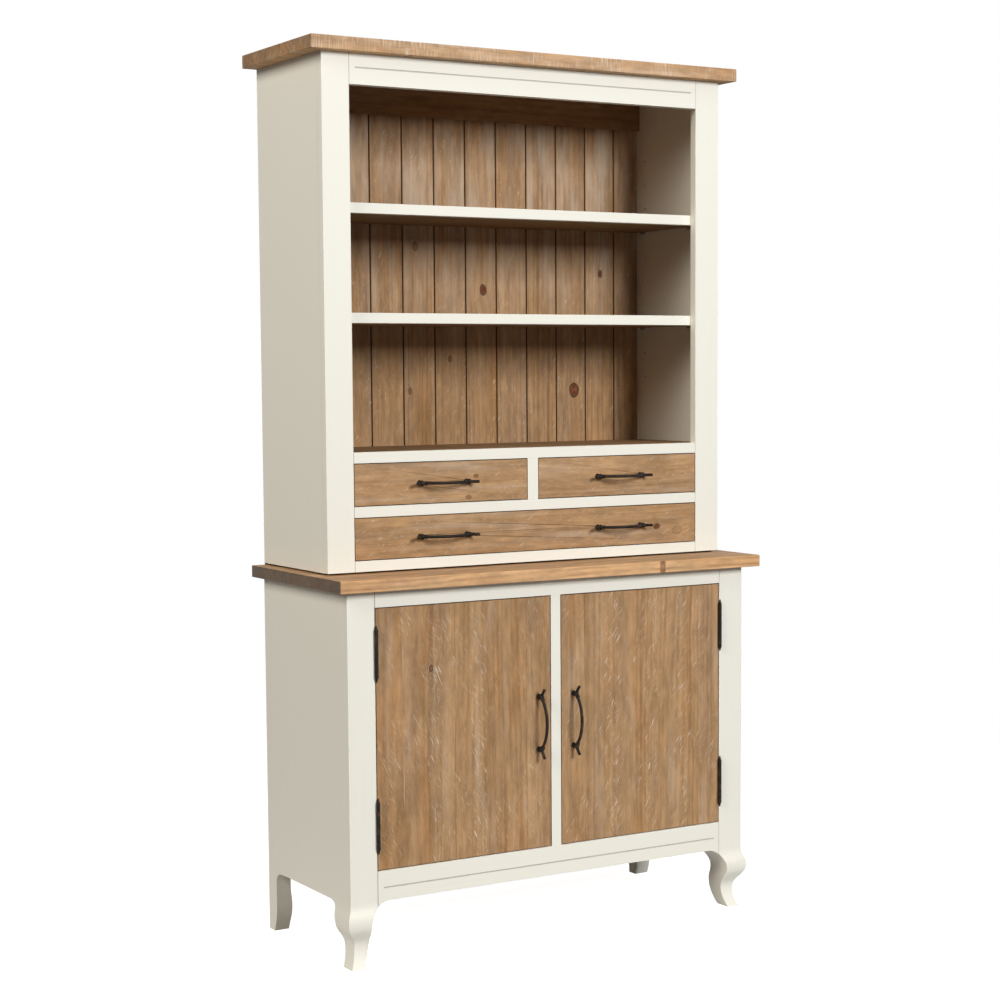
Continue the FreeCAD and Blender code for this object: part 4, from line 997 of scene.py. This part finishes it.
class HUTCH_OT_make_pulls(bpy.types.Operator):
    """Make the forged bow pulls of the doors and the drawers"""

    bl_idname = "hutch.make_pulls"
    bl_label = "Make the pulls"

    def execute(self, context):
        iron = forged_iron("pull_iron")
        steel = plated_steel("pull_screw_steel")
        upright = Matrix.Rotation(math.radians(90), 4, "Y")
        for body in ("left_door", "right_door", "left_drawer", "right_drawer", "wide_drawer"):
            node = body + ("_pulls" if body == "wide_drawer" else "_pull")
            mesh = bmesh.new()
            screws = []
            for points in islands(node):
                low, high = corners(points)
                spans = high - low
                if max(spans) < context.scene.hutch_sizes.pull_spacing:
                    screws.append(ScrewPlace(points))
                    continue
                middle = (low + high) / 2
                spot = Matrix.Translation((middle.x, high.y, middle.z))
                bow_pull_mesh(mesh, spot @ upright if spans.z > spans.x else spot)
            pull = make_piece(body + "_bow_pull", mesh, iron, body)
            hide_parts(node)
            if screws:
                mesh = bmesh.new()
                for place in screws:
                    slotted_screw_mesh(mesh, place, pull_screw_profile(place))
                piece = make_piece(body + "_pull_screws", mesh, steel, body)
                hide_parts(node)
        return {"FINISHED"}


class HUTCH_OT_make_hinges(bpy.types.Operator):
    """Finish the hinges in iron and make their slotted screws"""

    bl_idname = "hutch.make_hinges"
    bl_label = "Make hinges and screws"

    def execute(self, context):
        iron = forged_iron("hinge_iron")
        dress(iron, "metal_edge", "hinge_frame_leaves", "left_door_hinge_leaves", "right_door_hinge_leaves")
        dress(iron, None, "hinge_pins")
        steel = plated_steel("fitting_steel")
        dress(steel, "metal_edge", "tie_plates")
        dress(steel, None, "shelf_pins")
        screw_iron = forged_iron("screw_iron")
        for body in ("carcass", "left_door", "right_door"):
            node = body + "_screws"
            mesh = bmesh.new()
            for points in islands(node):
                place = ScrewPlace(points)
                countersunk = place.radius < COUNTERSUNK_RADIUS
                profile = wood_screw_profile(place) if countersunk else pull_screw_profile(place)
                slotted_screw_mesh(mesh, place, profile)
            piece = make_piece(body + "_slotted_screws", mesh, screw_iron, body)
            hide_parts(node)
        return {"FINISHED"}


class HUTCH_OT_make_pads(bpy.types.Operator):
    """Make the felt pads between the hutch and the counter"""

    bl_idname = "hutch.make_pads"
    bl_label = "Make the felt pads"

    def execute(self, context):
        mesh = bmesh.new()
        for points in islands("hutch_pads"):
            low, high = corners(points)
            cube = bmesh.ops.create_cube(mesh, size=1.0)["verts"]
            bmesh.ops.scale(mesh, vec=high - low, verts=cube)
            bmesh.ops.translate(mesh, vec=(low + high) / 2, verts=cube)
            edges = list({edge for vert in cube for edge in vert.link_edges})
            bmesh.ops.bevel(mesh, geom=edges, offset=context.scene.hutch_sizes.pad_edge, segments=3,
                            profile=0.5, affect="EDGES", material=-1)
        pads = make_piece("hutch_felt_pads", mesh, wool_felt("pad_felt"), "carcass")
        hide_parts("hutch_pads")
        return {"FINISHED"}


class HUTCH_OT_build_stage(bpy.types.Operator):
    """Set up the camera, the lamps, the pale floor and the white surroundings"""

    bl_idname = "hutch.build_stage"
    bl_label = "Build the stage"

    def execute(self, context):
        stage = context.scene.hutch_stage
        place_camera(stage)
        add_lamp(stage, "key_lamp", "key", KEY_TINT)
        add_lamp(stage, "left_fill_lamp", "fill", FILL_TINT)
        lay_floor(stage)
        light_surroundings(stage)
        context.scene.view_settings.view_transform = "Standard"
        return {"FINISHED"}


OPERATORS = (
    HUTCH_OT_build_stage,
    HUTCH_OT_paint_frame,
    HUTCH_OT_finish_top_boards,
    HUTCH_OT_finish_back,
    HUTCH_OT_finish_doors,
    HUTCH_OT_finish_drawers,
    HUTCH_OT_finish_inside,
    HUTCH_OT_make_pulls,
    HUTCH_OT_make_hinges,
    HUTCH_OT_make_pads,
)


class HUTCH_PT_panel(bpy.types.Panel):
    """Finishes, sizes, stage and steps of the buffet and hutch"""

    bl_idname = "HUTCH_PT_panel"
    bl_label = "Buffet and hutch"
    bl_space_type = "VIEW_3D"
    bl_region_type = "UI"
    bl_category = "Hutch"

    def draw(self, context):
        for group in (context.scene.hutch_finishes, context.scene.hutch_sizes, context.scene.hutch_stage):
            column = self.layout.column()
            for name in group.__annotations__:
                column.prop(group, name)
        for operator in OPERATORS:
            self.layout.operator(operator.bl_idname)


CLASSES = (HutchFinishes, HutchSizes, HutchStage, *OPERATORS, HUTCH_PT_panel)


def register():
    for each in CLASSES:
        bpy.utils.register_class(each)
    bpy.types.Scene.hutch_finishes = bpy.props.PointerProperty(type=HutchFinishes)
    bpy.types.Scene.hutch_sizes = bpy.props.PointerProperty(type=HutchSizes)
    bpy.types.Scene.hutch_stage = bpy.props.PointerProperty(type=HutchStage)


def unregister():
    del bpy.types.Scene.hutch_stage
    del bpy.types.Scene.hutch_sizes
    del bpy.types.Scene.hutch_finishes
    for each in reversed(CLASSES):
        bpy.utils.unregister_class(each)


def main():
    register()
    bpy.ops.hutch.build_stage()
    bpy.ops.hutch.paint_frame()
    bpy.ops.hutch.finish_top_boards()
    bpy.ops.hutch.finish_back()
    bpy.ops.hutch.finish_doors()
    bpy.ops.hutch.finish_drawers()
    bpy.ops.hutch.finish_inside()
    bpy.ops.hutch.make_pulls()
    bpy.ops.hutch.make_hinges()
    bpy.ops.hutch.make_pads()


if __name__ == "__main__":
    main()
